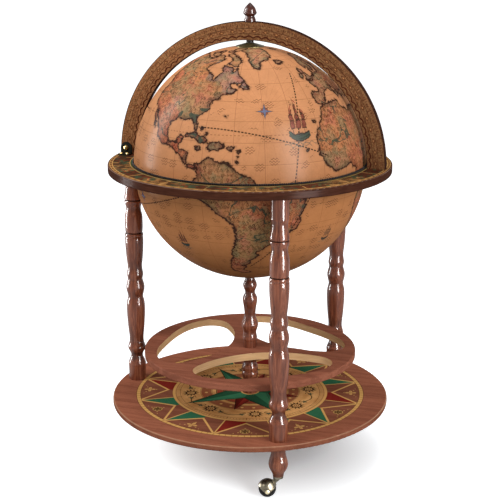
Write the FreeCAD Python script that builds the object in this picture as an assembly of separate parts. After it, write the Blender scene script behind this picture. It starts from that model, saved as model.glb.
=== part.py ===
import FreeCAD, Part
import math
import os

# Floor globe bar, in millimetres: a turned stand on casters carries a round
# shelf and a ring, the ring holds the lower bowl of a globe, and the upper
# dome hangs from an arch that tips open on a hinge pin at the ring.
# The origin is on the floor under the column, +Z is up, and the arch stands in
# the XZ plane with its hinge at -X.

Vector = FreeCAD.Vector
FULL_TURN = 360
QUARTER_TURN = 90
NUT_SIDES = 6
UP = Vector(0, 0, 1)
ACROSS = Vector(0, 1, 0)
ORIGIN = Vector(0, 0, 0)

# Cuts run past the faces that they open by this much
OVERRUN = 3.0

# Fits shared by several pieces
RUNNING_CLEARANCE = 0.08
THREAD_CLEARANCE = 0.05
ROD_CLEARANCE = 0.3
SEAT_CLEARANCE = 0.3
TURNING_CLEARANCE = 0.4

# Globe shells
GLOBE_RADIUS = 250.0
SHELL_WALL = 5.0
GLOBE_DROP = 3.0
BRAID_DIAMETER = 4.0
BRAID_CLEARANCE = 0.15

# Horizon ring
RING_WIDTH = 55.7
RING_THICKNESS = 18.0
RING_EDGE_RADIUS = 2.5

# Base board and bottle shelf
BASE_MARGIN = 34.0
BASE_THICKNESS = 12.0
BASE_EDGE_RADIUS = 3.0
SHELF_INSET = 39.0
SHELF_THICKNESS = 16.0
SHELF_EDGE_RADIUS = 2.5
# Half of a shelf cut-out, from its nose on the rim side to the hub: angle from
# its middle as a share of a third of a turn, and radius as a share of the shelf
CUTOUT_SHARES = (
    (0.0, 0.832), (0.150, 0.862), (0.285, 0.904), (0.385, 0.886), (0.436, 0.800),
    (0.454, 0.650), (0.437, 0.450), (0.330, 0.285), (0.165, 0.212), (0.0, 0.196),
)

# Legs, with the dowels into the ring and the studs down to the feet
# Places round the column, as shares of a turn from +X
LEG_TURN_SHARES = {"left": 1 / 2, "front": -1 / 6, "rear": 1 / 6}
LEG_INSET = 31.0
LEG_HEIGHT = 514.0
LEG_DIAMETER = 42.0
# Runs of (height, diameter) points from the foot of the turning to its head
LEG_RUN_SHARES = (
    ((0.0, 0.925), (0.066, 0.938)),
    (
        (0.066, 0.938), (0.084, 0.910), (0.101, 0.730), (0.115, 0.645), (0.129, 0.750),
        (0.151, 0.962), (0.171, 0.838), (0.185, 0.780), (0.226, 0.842), (0.282, 0.955),
        (0.321, 1.0), (0.350, 0.995), (0.370, 0.935), (0.389, 0.825), (0.410, 0.912),
        (0.432, 1.0), (0.455, 0.900), (0.473, 0.805), (0.489, 0.882), (0.503, 0.858),
        (0.522, 0.788), (0.556, 0.850), (0.590, 0.925), (0.632, 0.982), (0.661, 0.975),
    ),
    ((0.661, 0.975), (0.665, 0.930)),
    ((0.665, 0.930), (0.673, 0.985), (0.680, 0.945)),
    ((0.680, 0.945), (0.683, 0.850)),
    ((0.683, 0.850), (0.687, 0.925)),
    (
        (0.687, 0.925), (0.704, 0.955), (0.739, 0.955), (0.763, 0.920), (0.778, 0.830),
        (0.794, 0.788), (0.808, 0.850), (0.817, 0.925), (0.823, 0.950), (0.828, 0.930),
    ),
    ((0.828, 0.930), (0.831, 0.855)),
    ((0.831, 0.855), (0.835, 0.945)),
    (
        (0.835, 0.945), (0.840, 0.955), (0.858, 0.885), (0.880, 0.805), (0.897, 0.785),
        (0.907, 0.825), (0.914, 0.880),
    ),
    ((0.914, 0.880), (1.0, 0.890)),
)
DOWEL_DIAMETER = 10.0
DOWEL_IN_RING = 10.0
DOWEL_IN_LEG = 18.0
STUD_DIAMETER = 8.0
STUD_IN_LEG = 26.0
STUD_IN_FOOT = 24.0
BLIND_RELIEF = 0.5

# Turned feet under the base
FOOT_HEIGHT = 69.0
FOOT_DIAMETER = 40.5
FOOT_RUN_SHARES = (
    (
        (0.0, 0.560), (0.045, 0.575), (0.110, 0.645), (0.185, 0.780), (0.280, 0.930), (0.375, 1.0),
        (0.475, 0.968), (0.590, 0.872), (0.705, 0.770), (0.800, 0.755), (0.900, 0.780),
    ),
    ((0.900, 0.780), (1.0, 0.800)),
)

# Column of two turnings with a tie rod through it
LOWER_COLUMN_HEIGHT = 92.0
LOWER_COLUMN_DIAMETER = 37.0
LOWER_COLUMN_RUN_SHARES = (
    ((0.0, 0.960), (0.090, 0.960)),
    (
        (0.090, 0.960), (0.160, 0.850), (0.240, 0.740), (0.330, 0.830), (0.420, 0.960),
        (0.480, 1.0), (0.550, 0.930),
    ),
    ((0.550, 0.930), (0.600, 0.960), (0.650, 0.960), (0.710, 0.880)),
    ((0.710, 0.880), (0.790, 0.730), (0.860, 0.760), (0.920, 0.900)),
    ((0.920, 0.900), (1.0, 0.900)),
)
UPPER_COLUMN_DIAMETER = 37.0
UPPER_COLUMN_RUN_SHARES = (
    ((0.0, 0.805), (0.085, 0.810)),
    (
        (0.085, 0.810), (0.115, 0.870), (0.150, 0.845), (0.203, 0.775), (0.245, 0.860),
        (0.303, 1.0), (0.365, 0.850), (0.425, 0.680), (0.470, 0.675), (0.555, 0.770),
        (0.640, 0.890), (0.680, 0.850), (0.745, 0.600), (0.785, 0.690), (0.840, 0.840),
        (0.890, 0.720), (0.935, 0.560), (0.975, 0.600), (1.0, 0.720),
    ),
)
TIE_ROD_DIAMETER = 10.0
TIE_ROD_TIP = 3.0
TIE_NUT_FLATS = 17.0
TIE_NUT_HEIGHT = 8.0
TIE_WASHER_DIAMETER = 30.0
TIE_WASHER_THICKNESS = 2.0

# Bar insert in the bowl: a tray with wells over a bottle floor on posts
# The tops of tray and floor lie these shares of the bowl's radius below the ring's top
TRAY_DEPTH_SHARE = 0.3882
FLOOR_DEPTH_SHARE = 0.7274
TRAY_THICKNESS = 10.0
FLOOR_THICKNESS = 8.0
POST_DIAMETER = 14.0
POST_INSET = 22.0
BOTTLE_WELL_DIAMETER = 92.0
BOTTLE_MARGIN = 64.43
GLASS_WELL_DIAMETER = 62.0
GLASS_MARGIN = 15.43
# Glass wells stand this share of a third of a turn from a bottle well
GLASS_ANGLE_SHARES = (0.333, 0.667)

# Arch that carries the lid
ARCH_GAP = 9.0
ARCH_WIDTH = 39.0
ARCH_THICKNESS = 16.0
LID_GAP = 0.4

# Hinge at the arch's left foot
PIN_RISE = 14.0
PIN_DIAMETER = 6.0
PIN_HEAD_DIAMETER = 12.0
PIN_HEAD_HEIGHT = 4.0
CHEEK_GAP = 0.4
CHEEK_THICKNESS = 3.0
CHEEK_WIDTH = 26.0
CHEEK_FLANGE = 16.0
HINGE_SCREW_DIAMETER = 4.0
HINGE_SCREW_DEPTH = 12.0
HINGE_SCREW_HEAD_DIAMETER = 8.0
HINGE_SCREW_HEAD_HEIGHT = 2.6
HINGE_SCREW_SPACING = 14.0

# Pole: axle, finial, bush, cap, washer and nut
AXLE_DIAMETER = 8.0
AXLE_IN_FINIAL = 16.0
AXLE_TIP = 3.0
POLE_CAP_DIAMETER = 60.0
POLE_CAP_THICKNESS = 1.6
POLE_CAP_BOSS_DIAMETER = 19.0
POLE_CAP_BOSS_RISE = 6.0
POLE_BUSH_DIAMETER = 15.4
POLE_WASHER_DIAMETER = 24.0
POLE_WASHER_THICKNESS = 2.0
POLE_NUT_FLATS = 13.0
POLE_NUT_HEIGHT = 7.0
FINIAL_HEIGHT = 38.5
FINIAL_DIAMETER = 28.5
FINIAL_RUN_SHARES = (
    ((0.0, 0.860), (0.050, 0.862), (0.110, 0.830), (0.165, 0.780)),
    ((0.165, 0.780), (0.215, 0.720), (0.263, 0.665), (0.310, 0.735)),
    ((0.310, 0.735), (0.368, 0.890), (0.425, 0.985), (0.474, 1.0), (0.520, 0.945)),
    (
        (0.520, 0.945), (0.590, 0.895), (0.660, 0.830), (0.740, 0.720), (0.820, 0.545),
        (0.900, 0.340), (0.960, 0.180), (1.0, 0.050),
    ),
)

# Ball casters
# Way that each wheel trails, as a share of a turn from +X
TRAIL_TURN_SHARES = {"left": -20 / FULL_TURN, "front": 197.7 / FULL_TURN, "rear": 205 / FULL_TURN}
CASTER_HEIGHT = 47.0
CASTER_TRAIL = 22.5
WHEEL_RADIUS = 18.5
TYRE_WIDTH = 20.0
HUB_WIDTH = 30.0
HOOD_GAP = 0.8
HOOD_WALL = 1.4
HOOD_SKIRT = 6.0
# Rise of the hood's lower edges away from the axle, as a share of their run
HOOD_SLOPE_SHARE = 0.78
CASTER_PLATE_DIAMETER = 22.0
CASTER_PLATE_THICKNESS = 4.0
CASTER_ARM_DIAMETER = 11.0
CASTER_STEM_DIAMETER = 8.0
CASTER_STEM_LENGTH = 28.0
SOCKET_WALL = 1.5
SOCKET_FLANGE_DIAMETER = 18.0
SOCKET_FLANGE_THICKNESS = 1.5
CASTER_AXLE_DIAMETER = 4.0
CASTER_AXLE_HEAD_DIAMETER = 9.0
CASTER_AXLE_HEAD_HEIGHT = 2.0

# Places worked out from the sizes above
ring_bore = GLOBE_RADIUS + SEAT_CLEARANCE
ring_radius = ring_bore + RING_WIDTH
leg_circle = ring_radius - LEG_INSET
base_radius = leg_circle + BASE_MARGIN
shelf_radius = leg_circle - SHELF_INSET
base_bottom = CASTER_HEIGHT + FOOT_HEIGHT
base_top = base_bottom + BASE_THICKNESS
ring_bottom = base_top + LEG_HEIGHT
ring_top = ring_bottom + RING_THICKNESS
globe_height = ring_top - GLOBE_DROP
shelf_bottom = base_top + LOWER_COLUMN_HEIGHT
shelf_top = shelf_bottom + SHELF_THICKNESS
shell_inner_radius = GLOBE_RADIUS - SHELL_WALL
lid_bottom = ring_top + LID_GAP
arch_inner_radius = GLOBE_RADIUS + ARCH_GAP
arch_outer_radius = arch_inner_radius + ARCH_WIDTH
arch_top = ring_top + arch_outer_radius
heel_radius = PIN_RISE - TURNING_CLEARANCE
pin_height = ring_top + PIN_RISE
pin_x = heel_radius - math.sqrt(arch_outer_radius ** 2 - PIN_RISE ** 2)
cheek_inner = ARCH_THICKNESS / 2 + CHEEK_GAP
cheek_outer = cheek_inner + CHEEK_THICKNESS
leg_third = FULL_TURN / len(LEG_TURN_SHARES)
leg_angles = {name: FULL_TURN * share for name, share in LEG_TURN_SHARES.items()}
insert_radius = shell_inner_radius - SEAT_CLEARANCE
tray_top = ring_top - TRAY_DEPTH_SHARE * insert_radius
tray_bottom = tray_top - TRAY_THICKNESS
tray_rim = math.sqrt(insert_radius ** 2 - (globe_height - tray_bottom) ** 2)
bottle_circle = tray_rim - BOTTLE_MARGIN - BOTTLE_WELL_DIAMETER / 2
glass_circle = tray_rim - GLASS_MARGIN - GLASS_WELL_DIAMETER / 2
post_circle = bottle_circle - POST_INSET
floor_top = ring_top - FLOOR_DEPTH_SHARE * insert_radius


def on_circle(radius, angle, height):
    """Point at an angle in degrees on a level circle about the column."""
    turn = math.radians(angle)
    return Vector(radius * math.cos(turn), radius * math.sin(turn), height)


def round_bar(diameter, length, foot, direction=UP):
    """Round bar of a diameter, from its foot along a direction."""
    return Part.makeCylinder(diameter / 2, length, foot, direction)


def ball(radius):
    """Ball about the globe's centre."""
    return Part.makeSphere(radius, Vector(0, 0, globe_height))


def curve(points):
    """Edge through points: a line through two, and a smooth curve through more."""
    if len(points) == 2:
        return Part.makeLine(points[0], points[1])
    spline = Part.BSplineCurve()
    spline.interpolate(points)
    return spline.toShape()


def turned(run_shares, height, diameter, bottom):
    """Turned solid about Z from runs of (height, diameter) shares."""
    radius = diameter / 2
    runs = []
    for run in run_shares:
        runs.append([Vector(radius * wide, 0, bottom + height * high) for high, wide in run])
    axis_foot = Vector(0, 0, runs[0][0].z)
    axis_head = Vector(0, 0, runs[-1][-1].z)
    edges = [Part.makeLine(axis_foot, runs[0][0])]
    for points in runs:
        edges.append(curve(points))
    edges.append(Part.makeLine(runs[-1][-1], axis_head))
    edges.append(Part.makeLine(axis_head, axis_foot))
    return Part.Face(Part.Wire(edges)).revolve(ORIGIN, UP, FULL_TURN)


def round_board(radius, thickness, edge_radius, bottom):
    """Round board with eased rims."""
    board = Part.makeCylinder(radius, thickness, Vector(0, 0, bottom))
    rims = [edge for edge in board.Edges if isinstance(edge.Curve, Part.Circle)]
    return board.makeFillet(edge_radius, rims)


def hex_nut(flats, height, bottom, hole_diameter):
    """Hexagon nut about the column with a plain hole for its thread."""
    corner_radius = flats / 2 / math.cos(math.pi / NUT_SIDES)
    corners = []
    for side in range(NUT_SIDES + 1):
        corners.append(on_circle(corner_radius, FULL_TURN * side / NUT_SIDES, bottom))
    body = Part.Face(Part.makePolygon(corners)).extrude(Vector(0, 0, height))
    return body.cut(round_bar(hole_diameter, height, Vector(0, 0, bottom)))


def washer(diameter, thickness, bottom, hole_diameter):
    """Flat washer about the column."""
    foot = Vector(0, 0, bottom)
    return round_bar(diameter, thickness, foot).cut(round_bar(hole_diameter, thickness, foot))


def domed_head(diameter, height):
    """Domed screw head about Z, flat side on the origin."""
    radius = diameter / 2
    dome_radius = (radius ** 2 + height ** 2) / (2 * height)
    dome = Part.makeSphere(dome_radius, Vector(0, 0, height - dome_radius))
    return dome.common(Part.makeCylinder(radius, height))


def tie_rod_hole(bottom, height):
    """Cutter for the tie rod's hole through a piece of the column."""
    hole_diameter = TIE_ROD_DIAMETER + 2 * ROD_CLEARANCE
    return round_bar(hole_diameter, height + 2 * OVERRUN, Vector(0, 0, bottom - OVERRUN))


def leg_bars(diameter, length, bottom):
    """One upright bar on the axis of each leg."""
    feet = [on_circle(leg_circle, angle, bottom) for angle in leg_angles.values()]
    return [round_bar(diameter, length, foot) for foot in feet]


def make_base_board():
    """Round board over the feet, with holes for the studs and the tie rod."""
    board = round_board(base_radius, BASE_THICKNESS, BASE_EDGE_RADIUS, base_bottom)
    hole_diameter = STUD_DIAMETER + 2 * ROD_CLEARANCE
    holes = leg_bars(hole_diameter, BASE_THICKNESS + 2 * OVERRUN, base_bottom - OVERRUN)
    return board.cut(holes + [tie_rod_hole(base_bottom, BASE_THICKNESS)])


def make_leg(angle):
    """Turned leg with a stud hole in its foot and a dowel hole in its head."""
    leg = turned(LEG_RUN_SHARES, LEG_HEIGHT, LEG_DIAMETER, base_top)
    stud_hole = round_bar(
        STUD_DIAMETER + 2 * THREAD_CLEARANCE,
        STUD_IN_LEG + BLIND_RELIEF + OVERRUN,
        Vector(0, 0, base_top - OVERRUN),
    )
    dowel_hole = round_bar(
        DOWEL_DIAMETER + 2 * THREAD_CLEARANCE,
        DOWEL_IN_LEG + BLIND_RELIEF + OVERRUN,
        Vector(0, 0, ring_bottom - DOWEL_IN_LEG - BLIND_RELIEF),
    )
    leg = leg.cut([stud_hole, dowel_hole])
    leg.translate(on_circle(leg_circle, angle, 0))
    return leg


def make_foot(angle):
    """Turned foot with a stud hole above and a caster socket's hole below."""
    foot = turned(FOOT_RUN_SHARES, FOOT_HEIGHT, FOOT_DIAMETER, CASTER_HEIGHT)
    stud_hole = round_bar(
        STUD_DIAMETER + 2 * THREAD_CLEARANCE,
        STUD_IN_FOOT + BLIND_RELIEF + OVERRUN,
        Vector(0, 0, base_bottom - STUD_IN_FOOT - BLIND_RELIEF),
    )
    sleeve_diameter = CASTER_STEM_DIAMETER + 2 * RUNNING_CLEARANCE + 2 * SOCKET_WALL
    sleeve_hole = round_bar(
        sleeve_diameter + 2 * THREAD_CLEARANCE,
        CASTER_STEM_LENGTH + 2 * BLIND_RELIEF + SOCKET_WALL + OVERRUN,
        Vector(0, 0, CASTER_HEIGHT - OVERRUN),
    )
    flange_recess = round_bar(
        SOCKET_FLANGE_DIAMETER + 2 * THREAD_CLEARANCE,
        SOCKET_FLANGE_THICKNESS + OVERRUN,
        Vector(0, 0, CASTER_HEIGHT - OVERRUN),
    )
    foot = foot.cut([stud_hole, sleeve_hole, flange_recess])
    foot.translate(on_circle(leg_circle, angle, 0))
    return foot


def make_caster_socket(angle):
    """Flanged sleeve pressed into a foot, closed above the caster's stem."""
    bore_diameter = CASTER_STEM_DIAMETER + 2 * RUNNING_CLEARANCE
    sleeve_length = CASTER_STEM_LENGTH + BLIND_RELIEF + SOCKET_WALL
    sleeve = round_bar(bore_diameter + 2 * SOCKET_WALL, sleeve_length, Vector(0, 0, CASTER_HEIGHT))
    flange = round_bar(SOCKET_FLANGE_DIAMETER, SOCKET_FLANGE_THICKNESS, Vector(0, 0, CASTER_HEIGHT))
    bore = round_bar(
        bore_diameter, CASTER_STEM_LENGTH + BLIND_RELIEF + OVERRUN, Vector(0, 0, CASTER_HEIGHT - OVERRUN)
    )
    socket = sleeve.fuse(flange).cut(bore)
    socket.translate(on_circle(leg_circle, angle, 0))
    return socket


def make_lower_column():
    """Turned spacer between the base and the shelf."""
    spacer = turned(LOWER_COLUMN_RUN_SHARES, LOWER_COLUMN_HEIGHT, LOWER_COLUMN_DIAMETER, base_top)
    return spacer.cut(tie_rod_hole(base_top, LOWER_COLUMN_HEIGHT))


def make_upper_column():
    """Turned post from the shelf to the bowl, dished on top to seat it."""
    bowl_bottom = globe_height - GLOBE_RADIUS
    seat_edge = math.sqrt(GLOBE_RADIUS ** 2 - (UPPER_COLUMN_DIAMETER / 2) ** 2)
    height = globe_height - seat_edge - shelf_top
    post = turned(UPPER_COLUMN_RUN_SHARES, height, UPPER_COLUMN_DIAMETER, shelf_top)
    post = post.cut(ball(GLOBE_RADIUS + THREAD_CLEARANCE))
    return post.cut(tie_rod_hole(shelf_top, bowl_bottom - shelf_top))


def cutout_outline():
    """Closed outline of one shelf cut-out about +X, at the shelf's underside."""
    half = [(leg_third * angle, shelf_radius * reach) for angle, reach in CUTOUT_SHARES]
    mirrored = [(-angle, reach) for angle, reach in reversed(half[1:-1])]
    points = [on_circle(reach, angle, shelf_bottom - OVERRUN) for angle, reach in half + mirrored]
    outline = Part.BSplineCurve()
    outline.interpolate(points, PeriodicFlag=True)
    return Part.Wire(outline.toShape())


def make_bottle_shelf():
    """Round shelf on three spokes, with a bottle cut-out in line with each leg."""
    shelf = round_board(shelf_radius, SHELF_THICKNESS, SHELF_EDGE_RADIUS, shelf_bottom)
    cutters = [tie_rod_hole(shelf_bottom, SHELF_THICKNESS)]
    for angle in leg_angles.values():
        cutter = Part.Face(cutout_outline()).extrude(Vector(0, 0, SHELF_THICKNESS + 2 * OVERRUN))
        cutter.rotate(ORIGIN, UP, angle)
        cutters.append(cutter)
    return shelf.cut(cutters)


def make_horizon_ring():
    """Flat ring on the legs, bored for the bowl and drilled below for the dowels."""
    ring = round_board(ring_radius, RING_THICKNESS, RING_EDGE_RADIUS, ring_bottom)
    bore = Part.makeCylinder(ring_bore, RING_THICKNESS + 2 * OVERRUN, Vector(0, 0, ring_bottom - OVERRUN))
    dowel_holes = leg_bars(
        DOWEL_DIAMETER + 2 * THREAD_CLEARANCE,
        DOWEL_IN_RING + BLIND_RELIEF + OVERRUN,
        ring_bottom - OVERRUN,
    )
    screw_holes = []
    for place in hinge_screw_places():
        depth = HINGE_SCREW_DEPTH + BLIND_RELIEF
        foot = Vector(place.x, place.y, ring_top - depth)
        screw_holes.append(round_bar(HINGE_SCREW_DIAMETER + 2 * THREAD_CLEARANCE, depth + OVERRUN, foot))
    return ring.cut([bore] + dowel_holes + screw_holes)


def make_lower_bowl():
    """Lower shell of the globe, flush with the ring's top."""
    shell = ball(GLOBE_RADIUS).cut(ball(shell_inner_radius))
    above = Part.makeCylinder(2 * GLOBE_RADIUS, 2 * GLOBE_RADIUS, Vector(0, 0, ring_top))
    bowl_bottom = globe_height - GLOBE_RADIUS
    return shell.cut([above, tie_rod_hole(bowl_bottom, SHELL_WALL)])


def bowl_slice(top, thickness):
    """Board whose rim follows the inside of the bowl."""
    board = Part.makeCylinder(GLOBE_RADIUS, thickness, Vector(0, 0, top - thickness))
    return board.common(ball(insert_radius))


def make_bar_tray():
    """Tray with wells for bottles and glasses."""
    depth = TRAY_THICKNESS + 2 * OVERRUN
    start = tray_bottom - OVERRUN
    wells = []
    for angle in leg_angles.values():
        wells.append(round_bar(BOTTLE_WELL_DIAMETER, depth, on_circle(bottle_circle, angle, start)))
        for share in GLASS_ANGLE_SHARES:
            place = on_circle(glass_circle, angle + leg_third * share, start)
            wells.append(round_bar(GLASS_WELL_DIAMETER, depth, place))
    return bowl_slice(tray_top, TRAY_THICKNESS).cut(wells)


def make_bottle_floor():
    """Board that the bottles stand on, low in the bowl."""
    return bowl_slice(floor_top, FLOOR_THICKNESS)


def make_tray_posts():
    """Posts between the bottle floor and the tray, midway between bottles."""
    posts = []
    for angle in leg_angles.values():
        foot = on_circle(post_circle, angle + leg_third / 2, floor_top)
        posts.append(round_bar(POST_DIAMETER, tray_bottom - floor_top, foot))
    return Part.makeCompound(posts)


def tie_rod_ends():
    """Heights of the lower and upper washers' seats."""
    washer_radius = TIE_WASHER_DIAMETER / 2
    upper_seat = globe_height - math.sqrt(shell_inner_radius ** 2 - washer_radius ** 2)
    return base_bottom, upper_seat + THREAD_CLEARANCE


def make_tie_rod():
    """Threaded rod that clamps base, column, shelf and bowl together."""
    lower_seat, upper_seat = tie_rod_ends()
    end = TIE_WASHER_THICKNESS + TIE_NUT_HEIGHT + TIE_ROD_TIP
    return round_bar(TIE_ROD_DIAMETER, upper_seat - lower_seat + 2 * end, Vector(0, 0, lower_seat - end))


def make_tie_washers():
    """Washers under the base and in the bowl."""
    lower_seat, upper_seat = tie_rod_ends()
    hole = TIE_ROD_DIAMETER + 2 * ROD_CLEARANCE
    bottoms = (lower_seat - TIE_WASHER_THICKNESS, upper_seat)
    washers = [washer(TIE_WASHER_DIAMETER, TIE_WASHER_THICKNESS, low, hole) for low in bottoms]
    return Part.makeCompound(washers)


def make_tie_nuts():
    """Nuts on the tie rod's two ends."""
    lower_seat, upper_seat = tie_rod_ends()
    hole = TIE_ROD_DIAMETER + 2 * THREAD_CLEARANCE
    bottoms = (lower_seat - TIE_WASHER_THICKNESS - TIE_NUT_HEIGHT, upper_seat + TIE_WASHER_THICKNESS)
    return Part.makeCompound([hex_nut(TIE_NUT_FLATS, TIE_NUT_HEIGHT, low, hole) for low in bottoms])


def make_upper_dome():
    """Upper shell of the globe, closed down on the ring, with a hole at its pole."""
    shell = ball(GLOBE_RADIUS).cut(ball(shell_inner_radius))
    span = 2 * GLOBE_RADIUS
    below = Part.makeCylinder(span, span, Vector(0, 0, lid_bottom - span))
    return shell.cut([below, pole_hole()])


def pole_hole():
    """Cutter for the running fit of the globe on its pole axle."""
    hole_diameter = AXLE_DIAMETER + 2 * RUNNING_CLEARANCE
    return round_bar(hole_diameter, 2 * GLOBE_RADIUS, Vector(0, 0, globe_height))


def make_rim_braid():
    """Round braid glued along the dome's rim."""
    braid_radius = BRAID_DIAMETER / 2
    height = lid_bottom + braid_radius
    reach = GLOBE_RADIUS + braid_radius + BRAID_CLEARANCE
    return Part.makeTorus(reach, braid_radius, Vector(0, 0, height))


def make_pole_cap():
    """Dished cap over the pole that rises in a cone to the bush."""
    inner_radius = GLOBE_RADIUS + BRAID_CLEARANCE
    dish_radius = inner_radius + POLE_CAP_THICKNESS
    rim_radius = POLE_CAP_DIAMETER / 2
    rim_rise = math.sqrt(dish_radius**2 - rim_radius**2)
    dish = ball(dish_radius)
    dish = dish.common(round_bar(POLE_CAP_DIAMETER, 2 * GLOBE_RADIUS, Vector(0, 0, globe_height)))
    cone = Part.makeCone(
        rim_radius,
        POLE_CAP_BOSS_DIAMETER / 2,
        GLOBE_RADIUS + POLE_CAP_BOSS_RISE - rim_rise,
        Vector(0, 0, globe_height + rim_rise),
    )
    return dish.fuse(cone).cut([ball(inner_radius), pole_hole()])


def make_meridian_arch():
    """Half ring over the globe, with a heel rounded about the hinge pin."""
    centre = Vector(0, -ARCH_THICKNESS / 2, ring_top)
    outer = Part.makeCylinder(arch_outer_radius, ARCH_THICKNESS, centre, ACROSS)
    inner = Part.makeCylinder(arch_inner_radius, ARCH_THICKNESS, centre, ACROSS)
    reach = 2 * arch_outer_radius
    below = Part.makeBox(reach, reach, reach, Vector(-reach / 2, -reach / 2, lid_bottom - reach))
    corner = Part.makeBox(
        ARCH_WIDTH, ARCH_THICKNESS, PIN_RISE, Vector(pin_x - ARCH_WIDTH, -ARCH_THICKNESS / 2, ring_top)
    )
    heel_side = Vector(pin_x, -ARCH_THICKNESS / 2, pin_height)
    heel = round_bar(2 * heel_radius, ARCH_THICKNESS, heel_side, ACROSS)
    pin_bore = round_bar(
        PIN_DIAMETER + 2 * RUNNING_CLEARANCE,
        ARCH_THICKNESS + 2 * OVERRUN,
        Vector(pin_x, -ARCH_THICKNESS / 2 - OVERRUN, pin_height),
        ACROSS,
    )
    axle_hole = round_bar(
        AXLE_DIAMETER + 2 * THREAD_CLEARANCE,
        ARCH_WIDTH + 2 * OVERRUN,
        Vector(0, 0, arch_top - ARCH_WIDTH - OVERRUN),
    )
    return outer.cut([inner, below, corner.cut(heel), pin_bore, axle_hole])


def make_hinge_cheek(side):
    """Angle plate beside the arch's heel, screwed down to the ring."""
    width = CHEEK_WIDTH
    plate = Part.makeBox(
        width, CHEEK_THICKNESS, PIN_RISE, Vector(pin_x - width / 2, cheek_inner, ring_top)
    )
    crown = round_bar(width, CHEEK_THICKNESS, Vector(pin_x, cheek_inner, pin_height), ACROSS)
    crown = crown.common(
        Part.makeBox(width, CHEEK_THICKNESS, width, Vector(pin_x - width / 2, cheek_inner, pin_height))
    )
    flange_width = CHEEK_THICKNESS + CHEEK_FLANGE
    flange = Part.makeBox(
        width, flange_width, CHEEK_THICKNESS, Vector(pin_x - width / 2, cheek_inner, ring_top)
    )
    holes = [
        round_bar(
            PIN_DIAMETER + 2 * THREAD_CLEARANCE,
            CHEEK_THICKNESS + 2 * OVERRUN,
            Vector(pin_x, cheek_inner - OVERRUN, pin_height),
            ACROSS,
        )
    ]
    for place in hinge_screw_places():
        foot = Vector(place.x, place.y, ring_top - OVERRUN)
        hole_diameter = HINGE_SCREW_DIAMETER + 2 * ROD_CLEARANCE
        holes.append(round_bar(hole_diameter, CHEEK_THICKNESS + 2 * OVERRUN, foot))
    cheek = plate.fuse([crown, flange]).removeSplitter().cut(holes)
    return cheek if side > 0 else cheek.mirror(ORIGIN, ACROSS)


def hinge_screw_places():
    """Screw places on the two flanges of the hinge, on top of them."""
    reach = cheek_outer + CHEEK_FLANGE / 2
    half = HINGE_SCREW_SPACING / 2
    height = ring_top + CHEEK_THICKNESS
    return [Vector(pin_x + along * half, side * reach, height) for side in (-1, 1) for along in (-1, 1)]


def make_hinge_screws():
    """Dome-headed screws through the hinge flanges into the ring."""
    screws = []
    for place in hinge_screw_places():
        shank = round_bar(HINGE_SCREW_DIAMETER, HINGE_SCREW_DEPTH + CHEEK_THICKNESS, ORIGIN)
        shank.translate(Vector(0, 0, -HINGE_SCREW_DEPTH - CHEEK_THICKNESS))
        screw = shank.fuse(domed_head(HINGE_SCREW_HEAD_DIAMETER, HINGE_SCREW_HEAD_HEIGHT))
        screw.translate(place)
        screws.append(screw)
    return Part.makeCompound(screws)


def make_hinge_pin():
    """Pivot pin through the cheeks and the heel, with a domed head at each end."""
    pin = round_bar(PIN_DIAMETER, 2 * cheek_outer, Vector(0, 0, -cheek_outer))
    head = domed_head(PIN_HEAD_DIAMETER, PIN_HEAD_HEIGHT)
    head.translate(Vector(0, 0, cheek_outer))
    pin = pin.fuse([head, head.mirror(ORIGIN, UP)])
    pin.rotate(ORIGIN, Vector(1, 0, 0), QUARTER_TURN)
    pin.translate(Vector(pin_x, 0, pin_height))
    return pin


def pole_seat_heights():
    """Heights of the boss's top, the arch's underside and the inner washer's top."""
    boss_top = globe_height + GLOBE_RADIUS + POLE_CAP_BOSS_RISE
    bush_radius = POLE_BUSH_DIAMETER / 2
    arch_under = ring_top + math.sqrt(arch_inner_radius ** 2 - bush_radius ** 2)
    washer_radius = POLE_WASHER_DIAMETER / 2
    shell_under = globe_height + math.sqrt(shell_inner_radius ** 2 - washer_radius ** 2)
    return boss_top, arch_under, shell_under - SEAT_CLEARANCE


def make_pole_bush():
    """Spacer between the arch and the globe's cap."""
    boss_top, arch_under, _ = pole_seat_heights()
    bottom = boss_top + SEAT_CLEARANCE
    hole = AXLE_DIAMETER + 2 * THREAD_CLEARANCE
    return washer(POLE_BUSH_DIAMETER, arch_under - THREAD_CLEARANCE - bottom, bottom, hole)


def make_pole_washer():
    """Washer that the dome hangs on."""
    washer_top = pole_seat_heights()[2]
    hole = AXLE_DIAMETER + 2 * THREAD_CLEARANCE
    return washer(POLE_WASHER_DIAMETER, POLE_WASHER_THICKNESS, washer_top - POLE_WASHER_THICKNESS, hole)


def make_pole_nut():
    """Nut under the dome's washer."""
    nut_top = pole_seat_heights()[2] - POLE_WASHER_THICKNESS
    hole = AXLE_DIAMETER + 2 * THREAD_CLEARANCE
    return hex_nut(POLE_NUT_FLATS, POLE_NUT_HEIGHT, nut_top - POLE_NUT_HEIGHT, hole)


def make_pole_axle():
    """Stud from the finial through arch, bush and dome to the nut."""
    nut_bottom = pole_seat_heights()[2] - POLE_WASHER_THICKNESS - POLE_NUT_HEIGHT
    bottom = nut_bottom - AXLE_TIP
    return round_bar(AXLE_DIAMETER, arch_top + AXLE_IN_FINIAL - bottom, Vector(0, 0, bottom))


def make_finial():
    """Turned finial screwed on the axle over the arch."""
    finial = turned(FINIAL_RUN_SHARES, FINIAL_HEIGHT, FINIAL_DIAMETER, arch_top)
    socket = round_bar(
        AXLE_DIAMETER + 2 * THREAD_CLEARANCE,
        AXLE_IN_FINIAL + BLIND_RELIEF + OVERRUN,
        Vector(0, 0, arch_top - OVERRUN),
    )
    return finial.cut(socket)


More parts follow.
